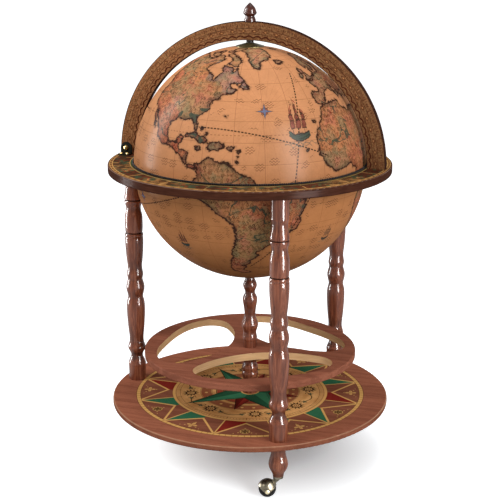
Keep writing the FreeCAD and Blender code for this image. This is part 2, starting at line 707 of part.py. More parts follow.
def place_caster(piece, name):
    """Turn a caster piece to its trail and set it under its leg."""
    piece.rotate(ORIGIN, UP, FULL_TURN * TRAIL_TURN_SHARES[name])
    piece.translate(on_circle(leg_circle, leg_angles[name], 0))
    return piece


def wheel_bar(diameter, width):
    """Bar along the wheel's axle, centred on the wheel."""
    return round_bar(diameter, width, Vector(CASTER_TRAIL, -width / 2, WHEEL_RADIUS), ACROSS)


def wheel_ball(radius):
    """Ball about the wheel's centre."""
    return Part.makeSphere(radius, Vector(CASTER_TRAIL, 0, WHEEL_RADIUS))


def below_hood(span):
    """Space under the hood's two lower edges, which meet below the axle."""
    tip = Vector(CASTER_TRAIL, -span, WHEEL_RADIUS - HOOD_SKIRT)
    climb = Vector(0, 0, span * HOOD_SLOPE_SHARE)
    aside = Vector(span, 0, 0)
    drop = Vector(0, 0, -span)
    corners = [tip, tip + aside + climb, tip + aside + drop, tip - aside + drop, tip - aside + climb, tip]
    return Part.Face(Part.makePolygon(corners)).extrude(Vector(0, 2 * span, 0))


def make_caster_fork(name):
    """Hood over the ball wheel, with its arm, top plate and swivel stem."""
    hollow_radius = WHEEL_RADIUS + HOOD_GAP
    hood_radius = hollow_radius + HOOD_WALL
    span = 2 * hood_radius
    plate_top = CASTER_HEIGHT - SEAT_CLEARANCE
    shoulder = Vector(0, 0, plate_top - CASTER_PLATE_THICKNESS)
    plate = round_bar(CASTER_PLATE_DIAMETER, CASTER_PLATE_THICKNESS, shoulder)
    stem = round_bar(CASTER_STEM_DIAMETER, CASTER_STEM_LENGTH + SEAT_CLEARANCE, Vector(0, 0, plate_top))
    slant = Vector(CASTER_TRAIL, 0, WHEEL_RADIUS) - shoulder
    start = shoulder - slant * (CASTER_ARM_DIAMETER / 2 / slant.Length)
    arm = round_bar(CASTER_ARM_DIAMETER, slant.Length, start, slant)
    arm = arm.common(round_bar(2 * span, plate_top, ORIGIN))
    hood = wheel_ball(hood_radius).cut(below_hood(span))
    fork = hood.fuse([plate, stem, arm]).cut(wheel_ball(hollow_radius))
    fork = fork.cut(wheel_bar(CASTER_AXLE_DIAMETER + 2 * THREAD_CLEARANCE, span))
    return place_caster(fork, name)


def make_caster_axle(name):
    """Axle across the hood with a domed head at each end."""
    hood_radius = WHEEL_RADIUS + HOOD_GAP + HOOD_WALL
    pin = round_bar(CASTER_AXLE_DIAMETER, 2 * hood_radius, Vector(0, 0, -hood_radius))
    head = domed_head(CASTER_AXLE_HEAD_DIAMETER, CASTER_AXLE_HEAD_HEIGHT)
    head.translate(Vector(0, 0, hood_radius))
    axle = pin.fuse([head, head.mirror(ORIGIN, UP)])
    axle.rotate(ORIGIN, Vector(1, 0, 0), QUARTER_TURN)
    axle.translate(Vector(CASTER_TRAIL, 0, WHEEL_RADIUS))
    return place_caster(axle, name)


def make_caster_tyre(name):
    """Ball-shaped tread of the wheel."""
    tyre = wheel_ball(WHEEL_RADIUS).common(wheel_bar(2 * WHEEL_RADIUS + OVERRUN, TYRE_WIDTH))
    tyre = tyre.cut(wheel_bar(CASTER_AXLE_DIAMETER + 2 * RUNNING_CLEARANCE, TYRE_WIDTH + 2 * OVERRUN))
    return place_caster(tyre, name)


def make_caster_hubs(name):
    """Domed hub plates on the two sides of the tread."""
    bore = wheel_bar(CASTER_AXLE_DIAMETER + 2 * RUNNING_CLEARANCE, HUB_WIDTH + 2 * OVERRUN)
    wide = wheel_ball(WHEEL_RADIUS).common(wheel_bar(2 * WHEEL_RADIUS + OVERRUN, HUB_WIDTH))
    hubs = wide.cut([wheel_bar(2 * WHEEL_RADIUS + 2 * OVERRUN, TYRE_WIDTH), bore])
    return place_caster(Part.makeCompound(hubs.Solids), name)


def all_pieces():
    """Yield each node's name and shape."""
    yield "base_board", make_base_board()
    for name, angle in leg_angles.items():
        yield "leg_" + name, make_leg(angle)
        yield "foot_" + name, make_foot(angle)
    stud_length = STUD_IN_FOOT + BASE_THICKNESS + STUD_IN_LEG
    yield "leg_studs", Part.makeCompound(leg_bars(STUD_DIAMETER, stud_length, base_bottom - STUD_IN_FOOT))
    dowel_length = DOWEL_IN_LEG + DOWEL_IN_RING
    dowels = leg_bars(DOWEL_DIAMETER, dowel_length, ring_bottom - DOWEL_IN_LEG)
    yield "leg_dowels", Part.makeCompound(dowels)
    yield "caster_sockets", Part.makeCompound([make_caster_socket(angle) for angle in leg_angles.values()])
    yield "lower_column", make_lower_column()
    yield "bottle_shelf", make_bottle_shelf()
    yield "upper_column", make_upper_column()
    yield "tie_rod", make_tie_rod()
    yield "tie_rod_washers", make_tie_washers()
    yield "tie_rod_nuts", make_tie_nuts()
    yield "horizon_ring", make_horizon_ring()
    yield "lower_bowl", make_lower_bowl()
    yield "bottle_floor", make_bottle_floor()
    yield "tray_posts", make_tray_posts()
    yield "bar_tray", make_bar_tray()
    yield "hinge_cheek_front", make_hinge_cheek(-1)
    yield "hinge_cheek_rear", make_hinge_cheek(1)
    yield "hinge_screws", make_hinge_screws()
    yield "hinge_pin", make_hinge_pin()
    yield "meridian_arch", make_meridian_arch()
    yield "pole_axle", make_pole_axle()
    yield "pole_bush", make_pole_bush()
    yield "pole_washer", make_pole_washer()
    yield "pole_nut", make_pole_nut()
    yield "finial", make_finial()
    yield "upper_dome", make_upper_dome()
    yield "rim_braid", make_rim_braid()
    yield "pole_cap", make_pole_cap()
    for name in leg_angles:
        yield "caster_fork_" + name, make_caster_fork(name)
        yield "caster_axle_" + name, make_caster_axle(name)
        yield "caster_tyre_" + name, make_caster_tyre(name)
        yield "caster_hubs_" + name, make_caster_hubs(name)


os.makedirs("parts", exist_ok=True)
for node, shape in all_pieces():
    shape.exportStep("parts/" + node + ".step")
    print(node, len(shape.Solids), shape.isValid(), round(shape.Volume))
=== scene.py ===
"""Looks of a floor globe bar: printed globe, turned stand, brass fittings and a plain studio."""

import logging
import math
from dataclasses import dataclass
from enum import Enum
from typing import Sequence, Union

import bpy
import numpy as np
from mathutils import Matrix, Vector
from mathutils.kdtree import KDTree


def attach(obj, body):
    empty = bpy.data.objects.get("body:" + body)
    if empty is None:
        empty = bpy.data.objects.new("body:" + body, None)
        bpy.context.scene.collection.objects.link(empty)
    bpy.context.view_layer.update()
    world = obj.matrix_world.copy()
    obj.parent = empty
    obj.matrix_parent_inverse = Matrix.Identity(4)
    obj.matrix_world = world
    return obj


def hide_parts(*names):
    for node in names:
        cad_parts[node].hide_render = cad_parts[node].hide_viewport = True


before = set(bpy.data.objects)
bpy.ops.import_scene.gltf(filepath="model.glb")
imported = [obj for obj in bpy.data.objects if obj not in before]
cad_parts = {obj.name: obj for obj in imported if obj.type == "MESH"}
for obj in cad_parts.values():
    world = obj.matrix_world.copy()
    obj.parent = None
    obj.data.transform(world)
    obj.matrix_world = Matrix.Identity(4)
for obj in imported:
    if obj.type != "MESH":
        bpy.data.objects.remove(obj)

LOG = logging.getLogger("globe_bar")
MILLIMETRES = 1000.0
DEGREE = math.pi / 180
LEGS = ("left", "front", "rear")

Rgba = tuple[float, float, float, float]
Point = tuple[float, float, float]


@dataclass(frozen=True)
class Tint:
    """A stain, paint or ink colour in display values from 0 to 255."""

    red: int
    green: int
    blue: int

    def linear(self) -> Rgba:
        """Turn the colour into the values that shaders take.

        Returns:
            Linear red, green and blue, and full cover.
        """
        shares = [value / 255 for value in (self.red, self.green, self.blue)]
        curve = [s / 12.92 if s <= 0.04045 else ((s + 0.055) / 1.055) ** 2.4 for s in shares]
        return (curve[0], curve[1], curve[2], 1.0)

    def shaded(self, level: float) -> Rgba:
        """Return the linear values, darker or lighter by a factor."""
        return (*(value * level for value in self.linear()[:3]), 1.0)


Term = Union[int, float, "Signal"]
Paint = Union[Tint, Rgba, "Signal"]
Feed = Union[int, float, tuple[float, ...], Tint, "Signal"]
Spot = tuple["Signal", "Signal", "Signal"]
Key = Union[int, str]


class Signal:
    """A shader socket that is reckoned with like a number."""

    def __init__(self, kit: "ShaderKit", socket: bpy.types.NodeSocket) -> None:
        """Wrap a socket of one finish's node tree."""
        self.kit = kit
        self.socket = socket

    def __add__(self, other: Term) -> "Signal":
        """Add a term."""
        return self.kit.math("ADD", self, other)

    def __radd__(self, other: Term) -> "Signal":
        """Add to a term."""
        return self.kit.math("ADD", other, self)

    def __sub__(self, other: Term) -> "Signal":
        """Take a term away."""
        return self.kit.math("SUBTRACT", self, other)

    def __rsub__(self, other: Term) -> "Signal":
        """Take away from a term."""
        return self.kit.math("SUBTRACT", other, self)

    def __mul__(self, other: Term) -> "Signal":
        """Multiply by a term."""
        return self.kit.math("MULTIPLY", self, other)

    def __rmul__(self, other: Term) -> "Signal":
        """Multiply a term."""
        return self.kit.math("MULTIPLY", other, self)

    def __truediv__(self, other: Term) -> "Signal":
        """Divide by a term."""
        return self.kit.math("DIVIDE", self, other)

    def __rtruediv__(self, other: Term) -> "Signal":
        """Divide a term."""
        return self.kit.math("DIVIDE", other, self)

    def __abs__(self) -> "Signal":
        """Drop the sign."""
        return self.kit.math("ABSOLUTE", self)

    def least(self, other: Term) -> "Signal":
        """Return the smaller of two terms."""
        return self.kit.math("MINIMUM", self, other)

    def most(self, other: Term) -> "Signal":
        """Return the larger of two terms."""
        return self.kit.math("MAXIMUM", self, other)

    def sine(self) -> "Signal":
        """Return the sine of an angle in degrees."""
        return self.kit.math("SINE", self * DEGREE)

    def cosine(self) -> "Signal":
        """Return the cosine of an angle in degrees."""
        return self.kit.math("COSINE", self * DEGREE)

    def wrapped(self, period: float) -> "Signal":
        """Return the signed way from the nearest multiple of a period."""
        return self.kit.math("WRAP", self, period / 2, -period / 2)

    def rise(self, low: Term, high: Term) -> "Signal":
        """Go smoothly from 0 to 1 while the value goes from low to high.

        Args:
            low: Value that gives 0.
            high: Value that gives 1.

        Returns:
            The smooth step.
        """
        inputs = {"Value": self, "From Min": low, "From Max": high}
        return self.kit.node("MapRange", {"interpolation_type": "SMOOTHSTEP"}, inputs)

    def over(self, level: Term, soft: float = 0.15) -> "Signal":
        """Return 1 above a level and 0 below it, over a soft edge."""
        return (self - level).rise(-soft, soft)

    def under(self, level: Term, soft: float = 0.15) -> "Signal":
        """Return 1 below a level and 0 above it, over a soft edge."""
        return (self - level).rise(soft, -soft)

    def near(self, level: Term, reach: Term, soft: float = 0.15) -> "Signal":
        """Return 1 within a reach of a level: a drawn line.

        Args:
            level: Middle of the line.
            reach: Half of the line's width.
            soft: Half of the width of its soft edge.

        Returns:
            The line's mask.
        """
        return (abs(self - level) - reach).rise(soft, -soft)


class ShaderKit:
    """Builds the node tree of one finish or of the world."""

    def __init__(self, holder: Union[bpy.types.Material, bpy.types.World]) -> None:
        """Start an empty node tree.

        Args:
            holder: Material or world that takes the nodes.
        """
        holder.use_nodes = True
        self.tree = holder.node_tree
        self.tree.nodes.clear()

    def feed(self, socket: bpy.types.NodeSocket, value: Feed) -> None:
        """Give a socket its value or its link.

        Args:
            socket: Input that is fed.
            value: Number, vector, tint or signal.
        """
        if isinstance(value, Signal):
            self.tree.links.new(value.socket, socket)
        else:
            socket.default_value = value.linear() if isinstance(value, Tint) else value

    def node(self, kind: str, settings: dict[str, object], inputs: dict[Key, Feed], output: Key = 0) -> Signal:
        """Add a node.

        Args:
            kind: Shader node type without its common prefix.
            settings: Properties, set first; "stops" gives a ramp's places and tints.
            inputs: Values or signals by socket name or number.
            output: Socket that is wanted of it.

        Returns:
            The wanted output.
        """
        made = self.tree.nodes.new("ShaderNode" + kind)
        for name, value in settings.items():
            if name == "stops":
                while len(made.color_ramp.elements) < len(value):
                    made.color_ramp.elements.new(1.0)
                for element, (place, tint) in zip(made.color_ramp.elements, value):
                    element.position = place
                    element.color = tint.linear()
            else:
                setattr(made, name, value)
        for name, value in inputs.items():
            self.feed(made.inputs[name], value)
        return Signal(self, made.outputs[output])

    def math(self, operation: str, *terms: Term) -> Signal:
        """Put terms through a Math node of an operation."""
        return self.node("Math", {"operation": operation}, dict(enumerate(terms)))

    def mix(self, share: Term, first: Paint, second: Paint, way: str = "MIX") -> Signal:
        """Blend two colours.

        Args:
            share: How much of the second shows.
            first: Colour below.
            second: Colour above.
            way: Blending of the Mix node.

        Returns:
            The blended colour.
        """
        settings = {"data_type": "RGBA", "blend_type": way}
        return self.node("Mix", settings, {0: share, 6: first, 7: second}, 2)

    def shade(self, colour: Signal, level: Term) -> Signal:
        """Darken or lighten a colour by a factor."""
        factor = level if isinstance(level, Signal) else (level, level, level, 1.0)
        return self.mix(1.0, colour, factor, "MULTIPLY")

    def ramp(self, value: Term, *stops: tuple[float, Tint]) -> Signal:
        """Turn a value into a colour along stops."""
        return self.node("ValToRGB", {"stops": stops}, {0: value})

    def axes(self, vector: Signal) -> Spot:
        """Split a vector into three values."""
        return tuple(self.node("SeparateXYZ", {}, {0: vector}, axis) for axis in "XYZ")

    def place(self) -> Spot:
        """Return the place on the part in millimetres, in the frame at rest."""
        spot = self.node("TexCoord", {}, {}, "Object")
        return tuple(axis * MILLIMETRES for axis in self.axes(spot))

    def carried(self, name: str, output: str = "Fac") -> Signal:
        """Return a value that the mesh carries on its vertices."""
        return self.node("Attribute", {"attribute_name": name}, {}, output)

    def facing(self, axis: str) -> Signal:
        """Return how far the surface faces along an axis, without its sign."""
        normal = self.node("TexCoord", {}, {}, "Normal")
        return abs(self.node("SeparateXYZ", {}, {0: normal}, axis))

    def polar(self, across: Signal, along: Signal) -> tuple[Signal, Signal]:
        """Return the radius and the angle in degrees of a point."""
        radius = self.math("SQRT", across * across + along * along)
        return radius, self.math("ARCTAN2", along, across) * (1 / DEGREE)

    def vector(self, *axes: Term) -> Signal:
        """Join three values into a vector."""
        return self.node("CombineXYZ", {}, dict(enumerate(axes)))

    def noise(
        self, spot: Sequence[Term], detail: float = 4.0, rough: float = 0.55, twist: float = 0.0
    ) -> Signal:
        """Return cloudy noise.

        Args:
            spot: Place in the noise's own units.
            detail: Layers of finer noise.
            rough: Share of each finer layer.
            twist: Distortion.

        Returns:
            Values about a half.
        """
        inputs = {"Vector": self.vector(*spot), "Scale": 1.0, "Detail": detail}
        inputs.update({"Roughness": rough, "Distortion": twist})
        return self.node("TexNoise", {}, inputs)

    def clouds(
        self, spot: Spot, scale: float, detail: float = 4.0, rough: float = 0.55,
        twist: float = 0.0, shift: float = 0.0,
    ) -> Signal:
        """Return noise that is alike along all axes.

        Args:
            spot: Place in millimetres.
            scale: Units of the noise to a millimetre.
            detail: Layers of finer noise.
            rough: Share of each finer layer.
            twist: Distortion.
            shift: Way along each axis to another part of the noise.

        Returns:
            Values about a half.
        """
        axes = [axis * scale for axis in spot]
        return self.noise([axis + shift for axis in axes] if shift else axes, detail, rough, twist)

    def surface(
        self, colour: Paint, roughness: Term, height: Signal, relief: float, **constants: Feed
    ) -> None:
        """Finish the material.

        Args:
            colour: Base colour.
            roughness: Roughness.
            height: Bump height from 0 to 1.
            relief: Depth of the bump in metres.
            constants: Other values of the shader, by socket name with _ for spaces.
        """
        bump = self.node("Bump", {}, {"Height": height, "Strength": 1.0, "Distance": relief})
        inputs = {"Base Color": colour, "Roughness": roughness, "Normal": bump}
        inputs.update({name.replace("_", " "): value for name, value in constants.items()})
        self.end(self.node("BsdfPrincipled", {}, inputs))

    def varnish(
        self, colour: Paint, roughness: Term, height: Signal, relief: float, coat: float, blur: float
    ) -> None:
        """Finish a material whose gloss is all in a thin varnish.

        Args:
            colour: Base colour.
            roughness: Roughness.
            height: Bump height from 0 to 1.
            relief: Depth of the bump in metres.
            coat: Weight of the varnish.
            blur: Roughness of the varnish.
        """
        gloss = {"Specular_IOR_Level": 0.0, "Coat_Weight": coat, "Coat_Roughness": blur}
        self.surface(colour, roughness, height, relief, **gloss)

    def end(self, shader: Signal, kind: str = "Material") -> None:
        """Link a shader to the output of the material or the world."""
        end = self.tree.nodes.new("ShaderNodeOutput" + kind)
        self.tree.links.new(shader.socket, end.inputs["Surface"])

    def star(self, radius: Signal, angle: Signal, points: int, tip: float, notch: float) -> Signal:
        """Return the way outside the edge of a star, negative inside it.

        Args:
            radius: Radius from the star's middle.
            angle: Angle in degrees from one of its tips.
            points: Number of tips.
            tip: Radius of the tips.
            notch: Radius of the corners between them.

        Returns:
            The distance, in the radius's unit.
        """
        aside = abs(angle.wrapped(360 / points))
        half = math.pi / points
        run = notch * math.cos(half) - tip
        climb = notch * math.sin(half)
        span = math.hypot(run, climb)
        return (radius * aside.cosine() - tip) * (climb / span) - radius * aside.sine() * (run / span)


@dataclass(frozen=True)
class Finish:
    """A finish that is made once and given to every piece that has it."""

    name: str

    def material(self) -> bpy.types.Material:
        """Give the finish as a material, which is made when first asked for.

        Returns:
            The one material of this name.
        """
        made = bpy.data.materials.get(self.name)
        if made is None:
            made = bpy.data.materials.new(self.name)
            self.paint(ShaderKit(made))
        return made

    def paint(self, kit: ShaderKit) -> None:
        """Build the finish's nodes in an empty material."""
        raise NotImplementedError


@dataclass(frozen=True)
class TurnedWood(Finish):
    """Red-brown stain under gloss lacquer on lathe-turned wood."""

    circle: float = 0.0
    thin: float = 12.0
    thick: float = 19.0
    dark: Tint = Tint(52, 24, 16)
    middle: Tint = Tint(122, 66, 45)
    light: Tint = Tint(180, 112, 79)
    grooves: tuple[float, ...] = ()
    groove_half: float = 1.3
    first_leg: float = 60.0
    leg_step: float = 120.0
    pore: Tint = Tint(44, 18, 14)
    # colour of the painted shade in the grooves
    groove_shade: Tint = Tint(30, 13, 10)

    def paint(self, kit: ShaderKit) -> None:
        """Draw upright grain, painted shade in the coves and grooves, and a gloss coat.

        Args:
            kit: Material that takes the finish.
        """
        x, y, z = kit.place()
        own, angle = kit.polar(x, y)
        if self.circle:
            turn = (angle - self.first_leg).wrapped(self.leg_step)
            own, _ = kit.polar(own * turn.cosine() - self.circle, own * turn.sine())
        grain = kit.noise((x * 0.11, y * 0.11, z * 0.007), 5.0, 0.6, 1.4)
        fibre = kit.noise((x * 0.9, y * 0.9, z * 0.018), 3.0)
        pores = kit.noise((x * 2.6, y * 2.6, z * 0.03), 2.0).rise(0.60, 0.72)
        stops = ((0.28, self.dark), (0.50, self.middle), (0.74, self.light))
        colour = kit.ramp(grain * 0.7 + fibre * 0.3, *stops)
        # painted shade: the coves are darkened towards the dark tint, where shade falls in the hollows
        cove_shade = own.rise(self.thick, self.thin)
        colour = kit.mix(cove_shade * 0.55, colour, self.dark)
        colour = kit.mix(pores * 0.35, colour, self.pore)
        # painted shade: dark lines at the groove heights stand in for the shade inside the grooves
        for height in self.grooves:
            colour = kit.mix(z.near(height, self.groove_half, 0.5) * 0.85, colour, self.groove_shade)
        smudge = kit.noise((x * 0.03, y * 0.03, z * 0.02), 2.0)
        kit.surface(colour, 0.40 + smudge * 0.12, fibre * 0.7 + pores * -0.3, 0.00005,
                    Specular_IOR_Level=0.03, Coat_Weight=0.22, Coat_Roughness=0.09, Coat_IOR=1.65)


@dataclass(frozen=True)
class BoardVeneer(Finish):
    """Red-brown veneer, with pale bare wood where the board is cut through."""

    reach: float = 231.0
    base: Tint = Tint(154, 95, 73)
    deep: Tint = Tint(130, 78, 60)
    bare: Tint = Tint(222, 184, 138)
    bare_dense: Tint = Tint(196, 154, 110)

    def paint(self, kit: ShaderKit) -> None:
        """Draw long grain on the faces and bare wood in the cut-outs.

        Args:
            kit: Material that takes the finish.
        """
        spot = kit.place()
        x, y, z = spot
        colour, fibre, wear = long_grain(kit, spot, self.base, self.deep)
        radius, _ = kit.polar(x, y)
        inside = kit.facing("Z").under(0.5, 0.15) * radius.under(self.reach, 1.0)
        layer = kit.noise((x * 0.02, y * 0.02, z * 0.9), 3.0)
        pale = kit.ramp(layer, (0.3, self.bare_dense), (0.7, self.bare))
        colour = kit.mix(inside, colour, pale)
        rough = 0.34 + wear * 0.1 + inside * 0.2
        kit.varnish(colour, rough, fibre, 0.00010, coat=0.006, blur=0.2)


BOARD_PORE = Tint(62, 32, 24)


def long_grain(kit: ShaderKit, spot: Spot, base: Tint, deep: Tint) -> Spot:
    """Draw board grain along X.

    Args:
        kit: Finish that is being made.
        spot: Place on the part in millimetres.
        base: Colour of the open grain.
        deep: Colour of the dense grain.

    Returns:
        The colour, the fibre's height and slow wear.
    """
    x, y, z = spot
    band = kit.noise((x * 0.004, y * 0.055, z * 0.055), 5.0, 0.6, 0.8)
    fibre = kit.noise((x * 0.06, y * 1.3, z * 1.3), 3.0)
    pores = kit.noise((x * 0.09, y * 2.4, z * 2.4), 2.0).rise(0.60, 0.70)
    wear = kit.clouds(spot, 0.012, 3.0)
    colour = kit.mix((band * 0.65 + fibre * 0.35).rise(0.38, 0.60), deep, base)
    colour = kit.mix(pores * 0.4, colour, BOARD_PORE)
    return colour, fibre * 0.6 - pores * 0.4, wear


@dataclass(frozen=True)
class CompassBoard(Finish):
    """Red-brown board printed with a compass star in green, red, tan and gold."""

    ring: float = 252.0
    ring_half: float = 4.0
    disc: float = 175.0
    notch: float = 186.0
    sprig_circle: float = 228.0
    sun_circle: float = 134.0
    vine_circle: float = 133.0
    bead_circle: float = 99.0
    inner_circle: float = 68.0
    hub: float = 21.0
    print_from: float = 127.7
    arris_from: float = 126.2
    arris_radius: float = 306.3
    wood: Tint = Tint(158, 97, 73)
    wood_deep: Tint = Tint(136, 81, 61)
    # pale colour of the painted highlight on the top outer edge
    wear_and_highlight: Tint = Tint(196, 154, 122)
    gold: Tint = Tint(206, 158, 92)
    gold_deep: Tint = Tint(150, 96, 52)
    red: Tint = Tint(126, 40, 32)
    green: Tint = Tint(50, 102, 72)
    tan: Tint = Tint(212, 162, 102)
    tan_deep: Tint = Tint(180, 126, 74)
    scale_ink: Tint = Tint(92, 50, 34)
    bead_band: Tint = Tint(120, 54, 42)
    inner_band: Tint = Tint(128, 44, 34)
    small_star: Tint = Tint(44, 70, 56)
    ink: Tint = Tint(30, 20, 16)

    def paint(self, kit: ShaderKit) -> None:
        """Draw the board, the outer star, the inner compass and a painted highlight along the top outer edge.

        Args:
            kit: Material that takes the finish.
        """
        spot = kit.place()
        x, y, z = spot
        wood, fibre, wear = long_grain(kit, spot, self.wood, self.wood_deep)
        radius, angle = kit.polar(x, y)
        print_side = z.over(self.print_from, 0.1)
        colour = self.outer_star(kit, wood, radius, angle)
        colour = self.inner_compass(kit, colour, radius, angle)
        ring = radius.near(self.ring, self.ring_half, 0.4)
        ticks = abs(angle.wrapped(3.0)) * radius * DEGREE
        ring_tint = kit.mix(ticks.under(0.9, 0.3) * 0.75, self.gold, self.gold_deep)
        colour = kit.mix(ring, colour, ring_tint)
        edge_lines = radius.near(self.ring - 4.6, 0.5, 0.2).most(radius.near(self.ring + 4.6, 0.5, 0.2))
        colour = kit.mix(edge_lines * 0.7, colour, self.ink)
        colour = kit.mix(print_side, kit.shade(wood, 0.78), colour)
        # painted highlight: a pale line along the top outer edge of the board
        arris_highlight = z.over(self.arris_from, 0.6) * radius.over(self.arris_radius, 0.5)
        colour = kit.mix(arris_highlight * 0.45, colour, self.wear_and_highlight)
        grime = kit.clouds(spot, 0.05, 4.0)
        colour = kit.shade(colour, 0.86 + grime * 0.26)
        kit.varnish(colour, 0.34 + wear * 0.12, fibre, 0.00008, coat=0.006, blur=0.2)

    def outer_star(self, kit: ShaderKit, wood: Signal, radius: Signal, angle: Signal) -> Signal:
        """Draw the twelve points, their gold edges and the sprigs between them.

        Args:
            kit: Finish that is being made.
            wood: Colour of the board.
            radius: Radius from the column in millimetres.
            angle: Angle round the column in degrees.

        Returns:
            The colour with the points drawn.
        """
        edge = kit.star(radius, angle, 12, self.ring - 1.0, self.notch)
        cardinal = abs(angle.wrapped(90)).under(15, 0.2)
        tone = kit.mix(cardinal, self.green, self.red)
        streak = kit.noise((radius * 0.5, angle * 0.05, 0.0), 3.0)
        tone = kit.shade(tone, 0.65 + streak * 0.6)
        middle = angle.wrapped(30)
        tone = kit.mix(middle.over(0.0, 0.2), kit.shade(wood, 0.7), tone)
        spine = (middle * radius * DEGREE).near(0.0, 1.4, 0.35) * edge.under(0.0, 0.3)
        field = kit.shade(wood, 0.72)
        inside = radius.under(self.ring, 0.3)
        colour = kit.mix(inside, wood, field)
        colour = kit.mix(edge.under(0.0, 0.3), colour, tone)
        colour = kit.mix(edge.near(0.0, 2.3, 0.35).most(spine) * inside, colour, self.gold)
        aside = (angle - 15).wrapped(30)
        across = radius * aside.sine()
        along = radius * aside.cosine() - self.sprig_circle
        reach, turn = kit.polar(across, along)
        odd = abs((angle - 15).wrapped(60)).over(15.0, 0.1)
        seal = reach.under(11.5, 0.4) * odd
        colour = kit.mix(seal * 0.9, colour, self.ink)
        petal = (reach - abs((turn * 3).cosine()) * 8.0).near(0.0, 0.9, 0.4).most(reach.near(10.2, 0.7, 0.3))
        colour = kit.mix(petal * odd, colour, self.gold)
        leaf = (reach - abs((turn * 2).cosine()) * 12.0).under(0.6, 0.5) * (1 - odd)
        colour = kit.mix(leaf * 0.85, colour, self.gold)
        vein = abs((turn * 2).sine()).under(0.14, 0.05) * reach.under(6.5, 0.4)
        colour = kit.mix(vein * leaf, colour, self.ink)
        dots = kit.polar(abs(across) - 14.0, along - 7.0)[0].under(1.7, 0.4)
        dots = dots.most(kit.polar(abs(across) - 24.0, along - 11.0)[0].under(1.3, 0.4))
        dots = dots.most(kit.polar(across, along + 15.0)[0].under(1.7, 0.4))
        return kit.mix(dots * 0.8, colour, self.gold)

    def inner_compass(self, kit: ShaderKit, colour: Signal, radius: Signal, angle: Signal) -> Signal:
        """Draw the tan disc with its scale, rings, ornaments and eight-point star.

        Args:
            kit: Finish that is being made.
            colour: Colour below the disc.
            radius: Radius from the column in millimetres.
            angle: Angle round the column in degrees.

        Returns:
            The colour with the disc drawn.
        """
        arc = radius * DEGREE
        mottle = kit.noise((radius * 0.06, angle * 0.05, 1.0), 4.0)
        tan = kit.ramp(mottle, (0.3, self.tan_deep), (0.7, self.tan))
        fine = abs(angle.wrapped(2.5)) * arc
        coarse = abs(angle.wrapped(15.0)) * arc
        ticks = fine.under(0.45, 0.2) * radius.near(163.0, 3.0, 0.3)
        ticks = ticks.most(coarse.under(0.9, 0.25) * radius.near(161.0, 5.0, 0.3))
        rings = radius.near(167.5, 0.5, 0.2).most(radius.near(158.0, 0.5, 0.2))
        rings = rings.most(radius.near(112.0, 0.5, 0.2)).most(radius.near(86.0, 0.5, 0.2))
        tan = kit.mix(ticks.most(rings) * 0.85, tan, self.scale_ink)
        tan = kit.mix(radius.near(self.bead_circle, 11.5, 0.3) * 0.8, tan, self.bead_band)
        inner = abs(radius - self.inner_circle)
        tan = kit.mix(inner.under(6.5, 0.3) * 0.9, tan, self.inner_band)
        tan = kit.mix(inner.near(8.0, 1.0, 0.3), tan, self.ink)
        beads = kit.polar((angle - 7.5).wrapped(15) * arc, radius - self.bead_circle)[0]
        tan = kit.mix(beads.under(3.4, 0.4), tan, self.gold)
        tan = self.flourish(kit, tan, radius, angle)
        for points, turn, tip, notch, tint in (
            (4, 0.0, 112.0, 34.0, self.red), (4, 45.0, 156.0, 44.0, self.green)
        ):
            edge = kit.star(radius, angle - turn, points, tip, notch)
            half = (angle - turn).wrapped(360 / points).over(0.0, 0.3)
            blade = kit.mix(half, tint.shaded(0.55), tint.shaded(1.15))
            hatch = (radius * 0.7 + angle * 0.9).wrapped(4.4).near(0.0, 0.7, 0.4) * edge.over(-7.0, 0.5)
            blade = kit.mix(hatch * 0.8, blade, self.ink)
            tan = kit.mix(edge.under(0.0, 0.3), tan, blade)
            tan = kit.mix(edge.near(0.0, 0.8, 0.25), tan, self.ink)
        tan = kit.mix(radius.under(self.hub, 0.4), tan, self.gold)
        disc = kit.mix(radius.over(self.disc - 5.0, 0.4), tan, self.gold)
        return kit.mix(radius.under(self.disc, 0.4), colour, disc)

    def flourish(self, kit: ShaderKit, tan: Signal, radius: Signal, angle: Signal) -> Signal:
        """Draw small suns, stars and a vine on the tan disc.

        Args:
            kit: Finish that is being made.
            tan: Colour of the disc.
            radius: Radius from the column in millimetres.
            angle: Angle round the column in degrees.

        Returns:
            The colour with the ornaments drawn.
        """
        aside = (angle - 22.5).wrapped(45)
        along, across = radius * aside.cosine() - self.sun_circle, radius * aside.sine()
        reach, turn = kit.polar(along, across)
        rays = kit.star(reach, turn, 12, 20.0, 11.0).under(0.0, 0.3) * reach.over(8.5, 0.3)
        disc = reach.near(5.0, 0.7, 0.25).most(reach.under(1.6, 0.3))
        tan = kit.mix(rays * 0.95, tan, self.ink)
        tan = kit.mix(disc, tan, self.ink)
        small_reach, small_turn = kit.polar(along, abs(across) - 29.0)
        star = kit.star(small_reach, small_turn, 5, 8.5, 3.4).under(0.0, 0.25)
        tan = kit.mix(star * 0.9, tan, self.small_star)
        bend = (angle * 8).cosine() * 11.0
        clear = reach.over(21.0, 0.5)
        vine = (radius - bend).near(self.vine_circle, 1.3, 0.4) * clear
        twig_across = (angle - 11.25).wrapped(22.5) * radius * DEGREE
        twig = kit.polar(twig_across, radius - self.vine_circle)[0]
        vine = vine.most(twig.near(6.5, 1.1, 0.4) * clear * small_reach.over(10.0, 0.5))
        return kit.mix(vine * 0.9, tan, self.ink)


